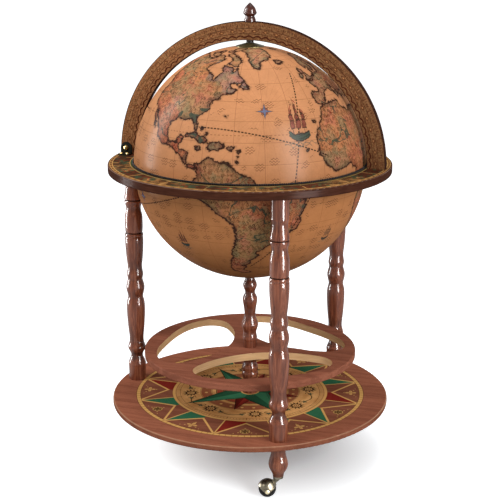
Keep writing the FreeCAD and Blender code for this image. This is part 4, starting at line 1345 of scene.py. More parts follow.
class Outline(Enum):
    """Simplified coasts as longitudes and latitudes, walked round each land."""

    NORTH_AMERICA = (
        (-168, 66), (-157, 71), (-141, 70), (-128, 70), (-115, 68), (-102, 68), (-95, 72), (-88, 69),
        (-82, 68), (-87, 65), (-94, 61), (-93, 58), (-83, 55), (-82, 53), (-80, 51), (-79, 54), (-77, 57),
        (-78, 62), (-70, 61), (-66, 58), (-64, 60), (-60, 55), (-56, 52), (-60, 50), (-66, 50), (-65, 48),
        (-61, 46), (-66, 44), (-70, 43.5), (-70, 41.7), (-74, 40.5), (-76, 37), (-76, 35), (-81, 31.5),
        (-80, 26.5), (-81, 25), (-83, 29), (-85, 30), (-90, 29.5), (-94, 29.5), (-97.5, 27), (-98, 22),
        (-95.5, 18.5), (-91, 18.5), (-90, 21), (-87, 21.5), (-88.5, 16), (-83.5, 15), (-83.5, 11),
        (-81.5, 9), (-77.5, 9), (-77.5, 7), (-80, 7.5), (-83, 8.5), (-86, 11), (-88, 13), (-94, 16),
        (-100, 17), (-105.5, 20), (-106, 23), (-109.5, 26.5), (-113, 31), (-114.5, 31.5), (-111.5, 27),
        (-109.5, 23), (-112, 25), (-115, 29), (-117, 33), (-121, 35), (-124, 40), (-124, 47), (-128, 51),
        (-131, 55), (-136, 59), (-146, 61), (-152, 59), (-158, 56), (-164, 54.5), (-158, 58.5),
        (-166, 61.5), (-161, 64.5),
    )
    SOUTH_AMERICA = (
        (-77.5, 8.5), (-75, 11), (-71.5, 12.5), (-68, 11), (-62, 10.5), (-57, 6), (-51.5, 4.5), (-48, 0),
        (-40, -2.5), (-33, -3), (-27, -5.5), (-25, -9), (-27, -14), (-27, -19), (-30, -23), (-35, -26),
        (-40, -29), (-44, -33), (-48, -35.5), (-47, -38), (-51, -41), (-53, -45), (-57, -47.5),
        (-55, -48.5), (-57, -52), (-52, -54.5), (-58, -56), (-65, -52.5), (-65, -47), (-63, -41),
        (-62, -36), (-60, -30), (-59.5, -24), (-60.5, -18.5), (-68, -13), (-75, -7), (-79, -4.5),
        (-79, -2), (-79.5, 1), (-77.5, 4),
    )
    EURASIA = (
        (-9.5, 38.5), (-9, 43), (-2, 43.4), (-1, 46), (-4.5, 48.4), (1.5, 50.5), (4.5, 52.3), (8.5, 54),
        (8.3, 57), (10.5, 57.5), (11, 54.3), (14.5, 54), (19, 54.4), (21.5, 57), (24, 58.7), (29.5, 60),
        (22, 60.5), (21.5, 63), (25, 65), (21.5, 65.5), (17.5, 62), (18.5, 60), (16.5, 57), (13, 55.5),
        (10.7, 59), (7, 58), (5, 61), (12, 66), (18, 69.5), (26, 71), (31, 70), (41, 67), (34, 66.5),
        (38, 64), (45, 67), (54, 68.5), (68, 69), (69, 73), (80, 73.5), (95, 76), (104, 77.5), (113, 74),
        (128, 72.5), (142, 72.5), (160, 69.7), (178, 69), (190, 66), (178, 62.5), (170, 60), (163, 58),
        (161, 54), (156.5, 51), (156, 57), (163, 62), (152, 59), (142, 59), (135.5, 54.7), (141, 52),
        (137, 46), (131, 43), (127.5, 39.5), (129.5, 36), (126.5, 34.5), (125, 39.5), (121, 39),
        (118, 39), (122, 37), (119.5, 35), (122, 31), (120, 27), (116, 23), (110, 21), (106, 20),
        (109, 14), (106.5, 10), (105, 9), (101, 13), (99.5, 10), (103.5, 4), (104, 1.5), (101, 3),
        (98.3, 9), (97.5, 16), (94, 17), (91.5, 22.5), (87, 21.5), (82, 16.5), (80, 13), (79.5, 10),
        (77.5, 8), (74.5, 13), (72.5, 20), (69, 22), (66.5, 25), (57.5, 25.7), (56, 27), (50.5, 30),
        (48, 30), (51.5, 25.5), (54, 24), (56.5, 26), (59.5, 22.5), (55, 17.5), (45, 12.8), (43, 13),
        (42, 17), (39, 21.5), (35, 28), (33, 31), (36, 36), (30.5, 36.4), (27, 37), (26.5, 40),
        (31, 41.3), (36, 42), (41.5, 41.7), (38, 44.7), (34, 44.6), (31, 46.5), (28.3, 43.5), (28, 41.3),
        (23, 40.3), (24, 38), (22, 36.8), (19.4, 41), (14, 45), (12.3, 44.5), (16, 41.7), (18.4, 40),
        (16, 38), (15, 40), (10.3, 43.5), (7, 43.6), (3.2, 42.5), (-0.3, 39.3), (-2, 36.8), (-5.5, 36.1),
        (-8.8, 37),
    )
    AFRICA = (
        (34, 31), (25, 31.6), (20, 32.5), (18, 30.5), (11, 33.7), (10.5, 37), (3, 36.8), (-6, 35.8),
        (-9.8, 31.5), (-13, 27.7), (-17, 21), (-16.5, 16), (-17.4, 14.6), (-15, 10.8), (-13, 8),
        (-7.7, 4.4), (-2, 4.9), (4.5, 6.3), (6, 4.3), (9.5, 4), (9, -0.7), (12, -5), (13.5, -9),
        (12, -15), (14.5, -22.8), (17, -29), (18.4, -34), (20, -34.8), (25.7, -34), (30.5, -31),
        (33, -27), (35.5, -24), (35, -20), (40.5, -15.5), (40.5, -10.5), (39, -6), (42, -1.5),
        (47.5, 4.3), (51.2, 11.8), (43.3, 11.5), (39.5, 15.3), (37, 21), (33, 28),
    )
    AUSTRALIA = (
        (114, -22), (115.7, -32), (118, -35), (124, -33), (131, -31.6), (135.7, -35), (140.5, -38),
        (146, -39), (150, -37.3), (153.4, -28.5), (149, -21), (145.5, -15), (142.5, -11), (141, -17),
        (136, -15), (136, -12), (131, -11.5), (126, -14), (122, -18),
    )
    GREENLAND = (
        (-73, 78), (-60, 76), (-54, 71), (-52, 66), (-48, 61), (-43.5, 60), (-40, 65), (-31, 68),
        (-22, 71), (-19, 76), (-17, 81), (-30, 83.5), (-50, 82), (-66, 80.5),
    )
    BAFFIN = ((-65, 62), (-62, 66), (-68, 70), (-78, 73.5), (-88, 73), (-80, 70), (-73, 67), (-75, 64.5))
    VICTORIA = ((-117, 73), (-106, 73), (-102, 69.7), (-115, 69.7))
    DEVON = ((-95, 75.3), (-80, 75), (-82, 76.6), (-96, 77))
    BANKS = ((-125, 71.6), (-118, 72.4), (-119.5, 74.6), (-125, 74))
    MELVILLE = ((-116, 75), (-105, 74.8), (-108, 76.7), (-117, 76.4))
    SVALBARD = ((12, 78), (20, 77), (27, 80), (14, 80))
    NOVAYA = ((52, 71.5), (57, 71), (62, 75.5), (68, 77), (58, 76))
    ELLESMERE = ((-90, 77), (-78, 77), (-64, 82), (-75, 83), (-92, 81.5))
    NEWFOUNDLAND = ((-59, 48), (-56, 51.5), (-53, 47))
    CUBA = ((-86, 22), (-81, 24), (-77, 22.5), (-73.5, 20.5), (-77, 19.2), (-79, 20.5), (-82, 21.3))
    HISPANIOLA = ((-73, 17.5), (-71.5, 20), (-66.5, 19.8), (-64.5, 18), (-68, 16.3), (-71.5, 16.2))
    JAMAICA = ((-79.4, 17.4), (-76.6, 17.4), (-76.2, 16.2), (-78.6, 16.2))
    PUERTO = ((-62.8, 18.2), (-59.6, 18.1), (-60.2, 16.7), (-62.4, 16.8))
    ANTILLES_NORTH = ((-58.2, 16.4), (-57.2, 16.2), (-57.7, 15.4))
    ANTILLES_MIDDLE = ((-58.4, 14.2), (-57.3, 14.0), (-57.9, 13.1))
    ANTILLES_SOUTH = ((-59.2, 12.0), (-57.9, 11.8), (-58.5, 10.8))
    BAHAMAS = ((-77.6, 26.4), (-76.4, 26.2), (-77, 25.2))
    BAHAMAS_EAST = ((-75.2, 24.6), (-73.9, 24.2), (-74.6, 23.4))
    ICELAND = ((-22.5, 64), (-18.5, 63.4), (-13.6, 65), (-16, 66.5), (-22, 66.3), (-24, 65.4))
    BRITAIN = (
        (-5.5, 50.1), (1.2, 51.3), (0.3, 53), (-2, 55.8), (-2, 57.6), (-5, 58.6), (-5.8, 56.3), (-3, 54),
        (-5, 52),
    )
    IRELAND = ((-10, 52), (-6.2, 52.3), (-6, 54.5), (-8.5, 55), (-10, 53.8))
    AZORES = ((-28.6, 38.8), (-27.4, 38.6), (-28, 37.9))
    BERMUDA = ((-65.2, 32.6), (-64.3, 32.5), (-64.7, 31.9))
    CANARIES = ((-17, 28.7), (-15.5, 28.6), (-16, 27.8))
    VERDES = ((-24.4, 15.8), (-23.3, 15.6), (-23.9, 14.8))
    MADAGASCAR = ((47, -25), (50.5, -15.5), (49.2, -12), (44.3, -17), (43.5, -23))
    CEYLON = ((80, 9.6), (81.8, 7.5), (80.2, 6))
    SUMATRA = ((95.5, 5.5), (100, 2), (105.5, -3), (105, -5.8), (100.5, -1.5))
    JAVA = ((105.5, -6.5), (110, -6.7), (114.3, -7.5), (114, -8.6), (108, -7.7))
    BORNEO = ((109, 1.5), (113, 3.5), (117, 7), (119, 5), (117.5, 0), (114.5, -4), (110.5, -2.8))
    CELEBES = ((119.5, 0), (125, 1.5), (121, 0), (122.5, -4.5), (120, -5.5))
    LUZON = ((120.5, 18.5), (122.3, 18.3), (124, 13), (125.5, 7), (122, 7.5), (121, 13))
    NEW_GUINEA = ((131, -1), (138, -1.8), (147.5, -6), (150.5, -10.5), (143, -9), (138, -8))
    JAPAN = (
        (130, 32), (136, 34), (140.5, 35.5), (141.8, 39.5), (141, 43), (145, 43.5), (142, 45.3),
        (140, 41), (136.5, 37), (131, 34.5),
    )
    TASMANIA = ((145, -41), (148.2, -41), (147, -43.6))
    ZEALAND_NORTH = ((173, -35), (178.3, -38), (175.3, -41.5), (174, -39))
    ZEALAND_SOUTH = ((173, -40.7), (174, -42), (169, -46.6), (167, -45.5))
    HAWAII = ((-156.5, 21), (-154.9, 19.6), (-156.2, 19))


WASHES = (
    (-150, 64, Tint(196, 132, 90)), (-125, 62, Tint(168, 138, 100)), (-122, 48, Tint(204, 112, 80)),
    (-116, 36, Tint(206, 116, 84)), (-105, 44, Tint(158, 130, 92)), (-97, 55, Tint(204, 138, 92)),
    (-92, 38, Tint(146, 132, 94)), (-84, 47, Tint(176, 128, 92)), (-78, 38, Tint(160, 112, 92)),
    (-82, 31, Tint(146, 118, 84)), (-75, 55, Tint(158, 128, 124)), (-65, 50, Tint(164, 132, 126)),
    (-104, 25, Tint(190, 100, 74)), (-92, 17, Tint(196, 98, 76)), (-82, 11, Tint(168, 92, 74)),
    (-78, 21, Tint(140, 104, 80)), (-70, 19, Tint(128, 104, 84)), (-72, 5, Tint(148, 112, 80)),
    (-62, 6, Tint(138, 116, 82)), (-54, 1, Tint(142, 112, 84)), (-72, -10, Tint(160, 132, 94)),
    (-58, -9, Tint(202, 138, 98)), (-44, -9, Tint(190, 112, 86)), (-50, -20, Tint(150, 134, 96)),
    (-64, -22, Tint(200, 136, 96)), (-62, -34, Tint(168, 146, 104)), (-70, -46, Tint(196, 124, 92)),
    (-42, 72, Tint(170, 146, 112)), (-75, 74, Tint(186, 140, 100)), (-19, 65, Tint(150, 120, 96)),
    (-3, 53, Tint(150, 120, 100)), (-4, 41, Tint(166, 128, 96)), (8, 49, Tint(150, 132, 100)),
    (20, 52, Tint(196, 124, 92)), (18, 64, Tint(160, 130, 100)), (-8, 29, Tint(186, 120, 80)),
    (-6, 18, Tint(192, 118, 78)), (-8, 9, Tint(120, 116, 88)), (10, 24, Tint(176, 118, 80)),
    (12, 9, Tint(196, 112, 80)), (30, 22, Tint(188, 132, 90)), (36, 7, Tint(160, 128, 92)),
    (22, -4, Tint(150, 130, 92)), (20, -20, Tint(198, 122, 90)), (28, -28, Tint(146, 130, 96)),
    (47, 24, Tint(200, 128, 90)), (40, 52, Tint(168, 134, 96)), (65, 60, Tint(198, 130, 92)),
    (60, 38, Tint(150, 126, 94)), (78, 24, Tint(196, 112, 82)), (95, 34, Tint(164, 136, 98)),
    (95, 60, Tint(156, 134, 100)), (112, 32, Tint(200, 126, 90)), (125, 62, Tint(196, 128, 92)),
    (102, 16, Tint(148, 130, 94)), (160, 64, Tint(164, 134, 98)), (138, 37, Tint(190, 108, 82)),
    (112, -2, Tint(160, 120, 88)), (122, -25, Tint(198, 132, 92)), (142, -24, Tint(156, 132, 96)),
    (172, -41, Tint(190, 118, 86)), (47, -19, Tint(150, 118, 88)), (0, -80, Tint(196, 150, 108)),
)

CHAINS = (
    (
        (-75, 8), (-75, 0), (-74, -5), (-66, -11), (-58, -18), (-56.5, -24), (-57, -30), (-59, -36), (-61, -48),
        (-61, -52),
    ),
    (
        (-150, 62), (-135, 60), (-125, 54), (-118, 48), (-112, 42), (-107, 36), (-105, 30), (-102, 24),
        (-98, 19),
    ),
    ((-86, 34), (-80, 38), (-74, 43)), ((-8, 31), (0, 34), (8, 36)), ((5, 45), (12, 47), (20, 48)),
    ((70, 36), (78, 32), (88, 29), (98, 29)), ((59, 52), (60, 60), (65, 67)), ((28, -30), (31, -25)),
    ((36, 12), (38, 6), (35, 0), (34, -8)), ((148, -36), (149, -30), (146, -22)),
    ((-52, -20), (-46, -18), (-42, -13)),
)


def rounded(points: Sequence[tuple[float, float]], pieces: int) -> np.ndarray:
    """Round a closed outline off into a smooth one.

    Args:
        points: Corners of the outline.
        pieces: Short lines between two corners.

    Returns:
        Points of the smooth outline.
    """
    corner = np.array(points, float)
    share = (np.arange(pieces) / pieces)[None, :, None]
    before, here, after, beyond = [np.roll(corner, shift, 0)[:, None, :] for shift in (1, 0, -1, -2)]
    bend = 2 * before - 5 * here + 4 * after - beyond
    twist = 3 * here - before - 3 * after + beyond
    line = here + 0.5 * share * ((after - before) + share * (bend + share * twist))
    return line.reshape(-1, 2)


def on_sphere(line: np.ndarray) -> np.ndarray:
    """Return unit vectors on the mounted globe of longitudes and latitudes."""
    east, north = np.radians(line[:, 0] - MapPrint.turn), np.radians(line[:, 1])
    return np.stack([np.cos(north) * np.cos(east), np.cos(north) * np.sin(east), np.sin(north)], 1)


def carry(mesh: bpy.types.Mesh, name: str, values: np.ndarray) -> None:
    """Write one number to each vertex of a mesh, for its finish to read."""
    layer = mesh.attributes.new(name, "FLOAT", "POINT")
    layer.data.foreach_set("value", values.astype(np.float32))


@dataclass
class Chart:
    """Measures the map on the vertices of a globe shell."""

    land_pieces: int = 8
    shore_pieces: int = 60
    ice_places: int = 2000
    chain_places: int = 40
    sway: float = 0.035
    sway_axes: tuple[Point, ...] = ((23, 11, -17), (-13, 27, 9), (19, -7, 25))

    def __post_init__(self) -> None:
        """Lay out the coasts and the trees that find the nearest shore and hills."""
        self.lines = [rounded(land.value, self.land_pieces) for land in Outline]
        shores = [on_sphere(rounded(land.value, self.shore_pieces)) for land in Outline]
        ice_east = np.linspace(-180, 180, self.ice_places)
        ice = np.stack([ice_east, self.ice_edge(ice_east)], 1)
        self.shore = self.tree(shores + [on_sphere(ice)])
        steps = np.linspace(0, 1, self.chain_places)[:, None]
        ranges = [np.array(chain, float) for chain in CHAINS]
        spans = [(start, end) for line in ranges for start, end in zip(line, line[1:])]
        self.hills = self.tree([on_sphere(start + (end - start) * steps) for start, end in spans])

    @staticmethod
    def tree(groups: Sequence[np.ndarray]) -> KDTree:
        """Return a tree that finds the nearest of many places.

        Args:
            groups: Unit vectors in groups.

        Returns:
            The balanced tree.
        """
        spots = np.concatenate(groups)
        made = KDTree(len(spots))
        for number, spot in enumerate(spots):
            made.insert(spot, number)
        made.balance()
        return made

    @staticmethod
    def ice_edge(east: np.ndarray) -> np.ndarray:
        """Return the latitude of the southern ice at longitudes."""
        turn = np.radians(east)
        return -71.0 + 3.0 * np.sin(2 * turn + 0.8) + 1.6 * np.sin(5 * turn)

    def inside(self, east: np.ndarray, north: np.ndarray) -> np.ndarray:
        """Tell which places are on land.

        Args:
            east: Longitudes in degrees.
            north: Latitudes in degrees.

        Returns:
            True on land.
        """
        land = north < self.ice_edge(east)
        for line in self.lines:
            for shift in (0.0, 360.0):
                way = east + shift
                box = (way > line[:, 0].min()) & (way < line[:, 0].max())
                box &= (north > line[:, 1].min()) & (north < line[:, 1].max())
                chosen = np.nonzero(box)[0]
                if not len(chosen):
                    continue
                across, height = way[chosen], north[chosen]
                odd = np.zeros(len(chosen), bool)
                for (east_a, north_a), (east_b, north_b) in zip(line, np.roll(line, -1, 0)):
                    if north_a != north_b:
                        span = (height > north_a) != (height > north_b)
                        cross = east_a + (height - north_a) * (east_b - east_a) / (north_b - north_a)
                        odd ^= span & (across < cross)
                land[chosen] |= odd
        return land

    def mark(self, mesh: bpy.types.Mesh, spots: np.ndarray) -> None:
        """Write the ways from coast and hills, and the washes, to a mesh's vertices.

        Args:
            mesh: Shell that takes the map.
            spots: Its vertices about the globe's centre, in metres.
        """
        unit = spots / np.linalg.norm(spots, axis=1, keepdims=True)
        east = (np.degrees(np.arctan2(unit[:, 1], unit[:, 0])) + MapPrint.turn + 180) % 360 - 180
        north = np.degrees(np.arcsin(np.clip(unit[:, 2], -1, 1)))
        way = np.array([self.shore.find(spot)[2] for spot in unit]) * MapPrint.radius
        way[~self.inside(east, north)] *= -1
        carry(mesh, "coast", way)
        carry(mesh, "relief", np.array([self.hills.find(spot)[2] for spot in unit]) * MapPrint.radius)
        sway = self.sway * np.sin(unit @ np.array(self.sway_axes).T)
        seeds = on_sphere(np.array([wash[:2] for wash in WASHES], float))
        tints = np.array([wash[2].linear() for wash in WASHES])
        nearest = np.argmax((unit + sway) @ seeds.T, 1)
        colours = tints[nearest].astype(np.float32)
        mesh.attributes.new("wash", "FLOAT_COLOR", "POINT").data.foreach_set("color", colours.ravel())


def dress(node: str, finish: Finish) -> None:
    """Give a node of the frame its finish.

    Args:
        node: Name of the node.
        finish: Finish that takes the place of its material.
    """
    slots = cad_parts[node].data.materials
    slots.clear()
    slots.append(finish.material())


def put(name: str, data: Union[bpy.types.Mesh, bpy.types.Light, bpy.types.Camera]) -> bpy.types.Object:
    """Put an object into the scene.

    Args:
        name: Name of the object.
        data: Mesh, light or camera that it holds.

    Returns:
        The object.
    """
    made = bpy.data.objects.new(name, data)
    bpy.context.scene.collection.objects.link(made)
    return made


def grid_mesh(name: str, spots: np.ndarray) -> bpy.types.Object:
    """Make a closed mesh from a grid that wraps round both ways.

    Args:
        name: Name of the piece.
        spots: Places as rows, columns and three axes, in metres.

    Returns:
        The piece, shaded smooth.
    """
    rows, columns = spots.shape[:2]
    index = np.arange(rows * columns).reshape(rows, columns)
    right = np.roll(index, -1, 1)
    quads = np.stack([index, right, np.roll(right, -1, 0), np.roll(index, -1, 0)], 2).reshape(-1, 4)
    mesh = bpy.data.meshes.new(name)
    mesh.from_pydata(spots.reshape(-1, 3).tolist(), [], quads.tolist())
    mesh.polygons.foreach_set("use_smooth", np.ones(len(quads), bool))
    return put(name, mesh)


class Half(Enum):
    """The two shells of the globe: name, node, body and side of the rim."""

    UPPER = ("dome_print", "upper_dome", "dome", 1)
    LOWER = ("bowl_print", "lower_bowl", "stand", -1)


@dataclass
class Globe:
    """The two printed shells of the globe."""

    centre: float = 0.657
    outer: float = 0.250
    inner: float = 0.245
    upper_rim: float = 0.6604
    lower_rim: float = 0.660
    pole_hole: float = 0.00408
    rod_hole: float = 0.0053
    segments: int = 480
    outer_rings: int = 150
    inner_rings: int = 26
    skin: float = 0.001
    hair: float = 1e-5

    def build(self, chart: Chart) -> list[bpy.types.Object]:
        """Make both shells with their map."""
        return [self.shell(half, chart) for half in Half]

    def arc(self, radius: float, rim: float, hole: float, side: int, rings: int) -> list[tuple[float, float]]:
        """Walk a shell's face from its hole to its rim.

        Args:
            radius: Radius of the face.
            rim: Height of the rim.
            hole: Radius of the hole at the pole.
            side: 1 above the rim, -1 below it.
            rings: Steps of the walk.

        Returns:
            Radii and heights.
        """
        start = math.asin(hole / radius)
        end = math.acos((rim - self.centre) / radius * side)
        turns = [start + (end - start) * step / rings for step in range(rings + 1)]
        return [(radius * math.sin(turn), self.centre + side * radius * math.cos(turn)) for turn in turns]

    def shell(self, half: Half, chart: Chart) -> bpy.types.Object:
        """Make one shell with its map, lining and sharp rims.

        Args:
            half: Which shell.
            chart: Map that is printed on it.

        Returns:
            The shell.
        """
        name, node, body, side = half.value
        rim = self.upper_rim if half is Half.UPPER else self.lower_rim
        hole = self.pole_hole if half is Half.UPPER else self.rod_hole
        skin = self.arc(self.outer, rim, hole, side, self.outer_rings)
        lining = self.arc(self.inner, rim, hole, side, self.inner_rings)
        profile = np.array(skin + lining[::-1])
        if side < 0:
            profile = profile[::-1]
        turn = np.linspace(0, 2 * math.pi, self.segments, endpoint=False)
        reach, height = profile[:, 0][:, None], profile[:, 1][:, None]
        spots = np.stack([reach * np.cos(turn), reach * np.sin(turn), height + 0 * turn], 2)
        piece = grid_mesh(name, spots[::-1])
        mesh = piece.data
        centre = Vector((0, 0, self.centre))
        places = np.array([vertex.co for vertex in mesh.vertices])
        ways = places - np.array(centre)
        chart.mark(mesh, ways)
        mesh.materials.append(MapPrint("globe_map").material())
        mesh.materials.append(ShellLining("globe_lining").material())
        inward = [(face.center - centre).length < self.outer - self.skin for face in mesh.polygons]
        mesh.polygons.foreach_set("material_index", np.array(inward, np.int32))
        away = np.linalg.norm(ways, axis=1) > (self.outer + self.inner) / 2
        level = np.hypot(places[:, 0], places[:, 1])
        edge = (np.abs(places[:, 2] - rim) < self.hair) | (level < hole + self.hair)
        pairs = np.array([tuple(line.vertices) for line in mesh.edges])
        sharp = edge[pairs].all(1) & (away[pairs[:, 0]] == away[pairs[:, 1]])
        mesh.attributes.new("sharp_edge", "BOOLEAN", "EDGE").data.foreach_set("value", sharp)
        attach(piece, body)
        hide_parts(node)
        return piece


@dataclass
class RimBraid:
    """Two-strand twisted cord glued round the dome's rim."""

    reach: float = 0.25215
    height: float = 0.6624
    strand: float = 0.00106
    lay: float = 0.00094
    turns: int = 176
    steps: int = 12
    sides: int = 10

    def build(self) -> list[bpy.types.Object]:
        """Make both strands, which ride on the dome.

        Returns:
            The strands.
        """
        parts = [self.strand_grid(start) for start in (0.0, math.pi)]
        pieces = [grid_mesh(f"rim_cord_{number}", part) for number, part in enumerate(parts)]
        count = self.turns * self.steps
        for piece in pieces:
            carry(piece.data, "along", np.repeat(np.arange(count) / self.steps * 4, self.sides))
            carry(piece.data, "round", np.tile(np.arange(self.sides) / self.sides, count))
            piece.data.materials.append(BraidCord("rim_cord").material())
            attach(piece, "dome")
            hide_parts("rim_braid")
        return pieces

    def strand_grid(self, start: float) -> np.ndarray:
        """Return one strand's grid of places.

        Args:
            start: Angle at which the strand starts round the cord.

        Returns:
            Places as rows along the strand and columns round it.
        """
        count = self.turns * self.steps
        turn = np.linspace(0, 2 * math.pi, count, endpoint=False)[:, None]
        twist = turn * self.turns + start
        round_way = np.linspace(0, 2 * math.pi, self.sides, endpoint=False)[None, :]
        across = self.lay * np.cos(twist) + self.strand * np.cos(round_way + twist)
        upward = self.lay * np.sin(twist) + self.strand * np.sin(round_way + twist)
        radius = self.reach + across
        return np.stack([radius * np.cos(turn), radius * np.sin(turn), self.height + upward], 2)


@dataclass
class Stand:
    """Base, shelf, legs, feet, columns and the rod that ties them."""

    leg_circle: float = 275.0
    # heights of the leg grooves, where painted shade lines are drawn
    leg_grooves: tuple[float, ...] = (479.1, 555.1)

    def dress(self) -> None:
        """Give the stand's nodes their finishes."""
        leg = TurnedWood("turned_leg", self.leg_circle, 14.2, 19.5, grooves=self.leg_grooves)
        foot = TurnedWood("turned_foot", self.leg_circle, 12.5, 18.5)
        column = TurnedWood("turned_column", 0.0, 10.0, 17.2)
        for name in LEGS:
            dress(f"leg_{name}", leg)
            dress(f"foot_{name}", foot)
        dress("lower_column", column)
        dress("upper_column", column)
        dress("base_board", CompassBoard("compass_board"))
        dress("bottle_shelf", BoardVeneer("shelf_veneer"))
        dress("horizon_ring", HorizonBand("horizon_band"))
        dress("leg_dowels", SATIN_TRAY)
        for name in ("leg_studs", "tie_rod", "tie_rod_washers", "tie_rod_nuts", "caster_sockets"):
            dress(name, PLATED_STEEL)


@dataclass
class BarInsert:
    """Tray, bottle floor and posts inside the bowl."""

    def dress(self) -> None:
        """Give the insert's nodes their finish."""
        for name in ("bar_tray", "bottle_floor", "tray_posts"):
            dress(name, SATIN_TRAY)


@dataclass
class Lid:
    """Arch, hinge and the fittings at the pole."""

    def dress(self) -> None:
        """Give the lid's and the hinge's nodes their finishes."""
        brass = MetalFinish("aged_brass", Tint(158, 134, 84), Tint(98, 79, 46), 0.22)
        lacquer = BlackCoat("hinge_lacquer", Tint(25, 26, 19))
        dress("meridian_arch", ArchScale("arch_scale"))
        finial_tints = (Tint(34, 14, 10), Tint(72, 34, 22), Tint(104, 56, 38))
        dress("finial", TurnedWood("turned_finial", 0.0, 6.0, 13.0, *finial_tints))
        dress("hinge_cheek_front", lacquer)
        dress("hinge_cheek_rear", lacquer)
        dress("hinge_screws", brass)
        dress("hinge_pin", brass)
        dress("pole_cap", MetalFinish("cap_brass", Tint(82, 71, 45), Tint(44, 38, 26), 0.36))
        dress("pole_bush", BlackCoat("bush_plastic"))
        for name in ("pole_axle", "pole_washer", "pole_nut"):
            dress(name, PLATED_STEEL)


@dataclass
class Casters:
    """Three ball casters under the feet."""

    def dress(self) -> None:
        """Give the casters' nodes their finishes."""
        hood = MetalFinish("hood_brass", Tint(112, 105, 90), Tint(58, 53, 44), 0.20)
        cap = MetalFinish("axle_brass", Tint(214, 202, 170), Tint(170, 156, 120), 0.20)
        for name in LEGS:
            dress(f"caster_fork_{name}", hood)
            dress(f"caster_axle_{name}", cap)
            dress(f"caster_hubs_{name}", BlackCoat("hub_plastic"))
            dress(f"caster_tyre_{name}", TreadRubber("tread_rubber"))


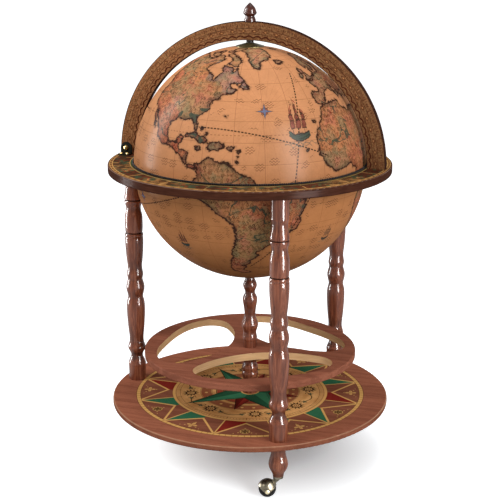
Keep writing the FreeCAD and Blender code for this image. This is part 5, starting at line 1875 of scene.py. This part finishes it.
@dataclass
class Studio:
    """Floor, soft lights and the camera."""

    floor_half: float = 40.0
    floor_tone: Rgba = (0.70, 0.74, 0.77, 1.0)
    white: Rgba = (1.0, 1.0, 1.0, 1.0)
    # glow_near is the floor's glow inside the painted shadow, glow_far outside it
    glow_near: float = 0.20
    glow_far: float = 0.95
    painted_shadow_near: float = 40.0
    painted_shadow_far: float = 380.0
    painted_shadow_x: float = 80.0
    painted_shadow_y: float = -10.0
    sky: float = 0.30
    azimuth: float = 17.68
    pitch: float = 15.46
    distance: float = 2.6997
    height: float = 1.2068
    lens: float = 91.63
    sensor: float = 36.0
    sight: float = 200.0

    def build(self) -> None:
        """Set the floor, the world, the lights and the camera."""
        bpy.context.scene.view_settings.view_transform = "Standard"
        self.floor()
        self.world()
        self.light("strip_right", self.beside(41.0, 1.55, 0.95), 0.7, (0.50, 1.8), 200.0, False)
        self.light("strip_left", self.beside(-106.0, 1.55, 0.95), 0.7, (0.40, 1.8), 150.0, False)
        self.light("top", (0.1, 0.45, 2.9), 0.5, (1.5, 1.5), 25.0, True)
        self.light("fill", self.beside(-72.0, 2.0, 2.2), 0.7, (1.3, 1.3), 42.0, True)
        self.light("front", self.beside(38.0, 3.3, 1.8), 0.5, (1.6, 1.4), 80.0, True)
        self.camera()

    def beside(self, turn: float, reach: float, height: float) -> Point:
        """Find a place beside the camera's line of sight.

        Args:
            turn: Angle to the right of the camera, in degrees.
            reach: Way from the object's axis in metres.
            height: Height in metres.

        Returns:
            The place.
        """
        angle = math.radians(self.azimuth + turn)
        return (math.sin(angle) * reach, -math.cos(angle) * reach, height)

    def floor(self) -> None:
        """Lay the pale floor: it keeps the shadow, has a painted shadow where its glow is dimmer near the
        stand, and turns white further off.
        """
        half = self.floor_half
        mesh = bpy.data.meshes.new("floor")
        corners = [(-half, -half, 0), (half, -half, 0), (half, half, 0), (-half, half, 0)]
        mesh.from_pydata(corners, [], [(0, 1, 2, 3)])
        piece = put("floor", mesh)
        mesh.materials.append(bpy.data.materials.new("floor_paper"))
        kit = ShaderKit(mesh.materials[0])
        paper = kit.node("BsdfDiffuse", {}, {"Color": self.floor_tone})
        x, y, _ = kit.place()
        # painted shadow: the floor's glow is dimmed round a point beside the stand's axis, so the floor there
        # stays grey
        reach = kit.polar(x - self.painted_shadow_x, y - self.painted_shadow_y)[0].rise(self.painted_shadow_near, self.painted_shadow_far)
        level = self.seen(kit) * (self.glow_near + reach * (self.glow_far - self.glow_near))
        glow = kit.node("Emission", {}, {"Color": level, "Strength": 1.0})
        kit.end(kit.node("AddShader", {}, {0: paper, 1: glow}))

    def world(self) -> None:
        """Light the room evenly, white where the camera looks at it."""
        world = bpy.data.worlds.new("room")
        bpy.context.scene.world = world
        kit = ShaderKit(world)
        light = kit.node("Background", {}, {"Color": self.white, "Strength": self.sky})
        backdrop = kit.node("Background", {}, {"Color": self.white, "Strength": 1.0})
        kit.end(kit.node("MixShader", {}, {0: self.seen(kit), 1: light, 2: backdrop}), "World")

    @staticmethod
    def seen(kit: ShaderKit) -> Signal:
        """Pick the rays that show the white room: seen, mirrored or through glass.

        Args:
            kit: Material or world that is being made.

        Returns:
            1 for those rays.
        """
        kinds = ("Camera", "Glossy", "Transmission")
        seen, mirrored, through = [kit.node("LightPath", {}, {}, f"Is {kind} Ray") for kind in kinds]
        return seen.most(mirrored).most(through)

    @staticmethod
    def light(
        name: str, spot: Point, aim: float, size: tuple[float, float], power: float, spread: bool
    ) -> None:
        """Hang a soft rectangular light that faces the object's axis.

        Args:
            name: Name of the light.
            spot: Where it hangs, in metres.
            aim: Height on the axis that it faces.
            size: Width and height.
            power: Power in watts.
            spread: Whether it lights the room, or is only mirrored in gloss.
        """
        lamp = bpy.data.lights.new(name, "AREA")
        lamp.shape = "RECTANGLE"
        lamp.size, lamp.size_y = size
        lamp.energy = power
        holder = put(name, lamp)
        holder.location = spot
        way = Vector((0.0, 0.0, aim)) - Vector(spot)
        holder.rotation_euler = way.to_track_quat("-Z", "Y").to_euler()
        holder.visible_camera = False
        holder.visible_diffuse = spread

    def camera(self) -> None:
        """Stand the camera at the view of the photograph."""
        lens = bpy.data.cameras.new("camera")
        lens.lens = self.lens
        lens.sensor_width = self.sensor
        lens.sensor_fit = "HORIZONTAL"
        lens.clip_end = self.sight
        holder = put("camera", lens)
        holder.location = self.beside(0.0, self.distance, self.height)
        holder.rotation_euler = (math.radians(90 - self.pitch), 0.0, math.radians(self.azimuth))
        bpy.context.scene.camera = holder


def main() -> None:
    """Build the looks of every sub-assembly in order."""
    logging.basicConfig(level=logging.INFO, format="%(name)s: %(message)s")
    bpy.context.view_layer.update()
    for group in (Stand(), BarInsert(), Lid(), Casters()):
        group.dress()
        LOG.info("dressed %s", type(group).__name__)
    for piece in Globe().build(Chart()) + RimBraid().build():
        LOG.info("built %s with %d faces", piece.name, len(piece.data.polygons))
    Studio().build()


if __name__ == "__main__":
    main()
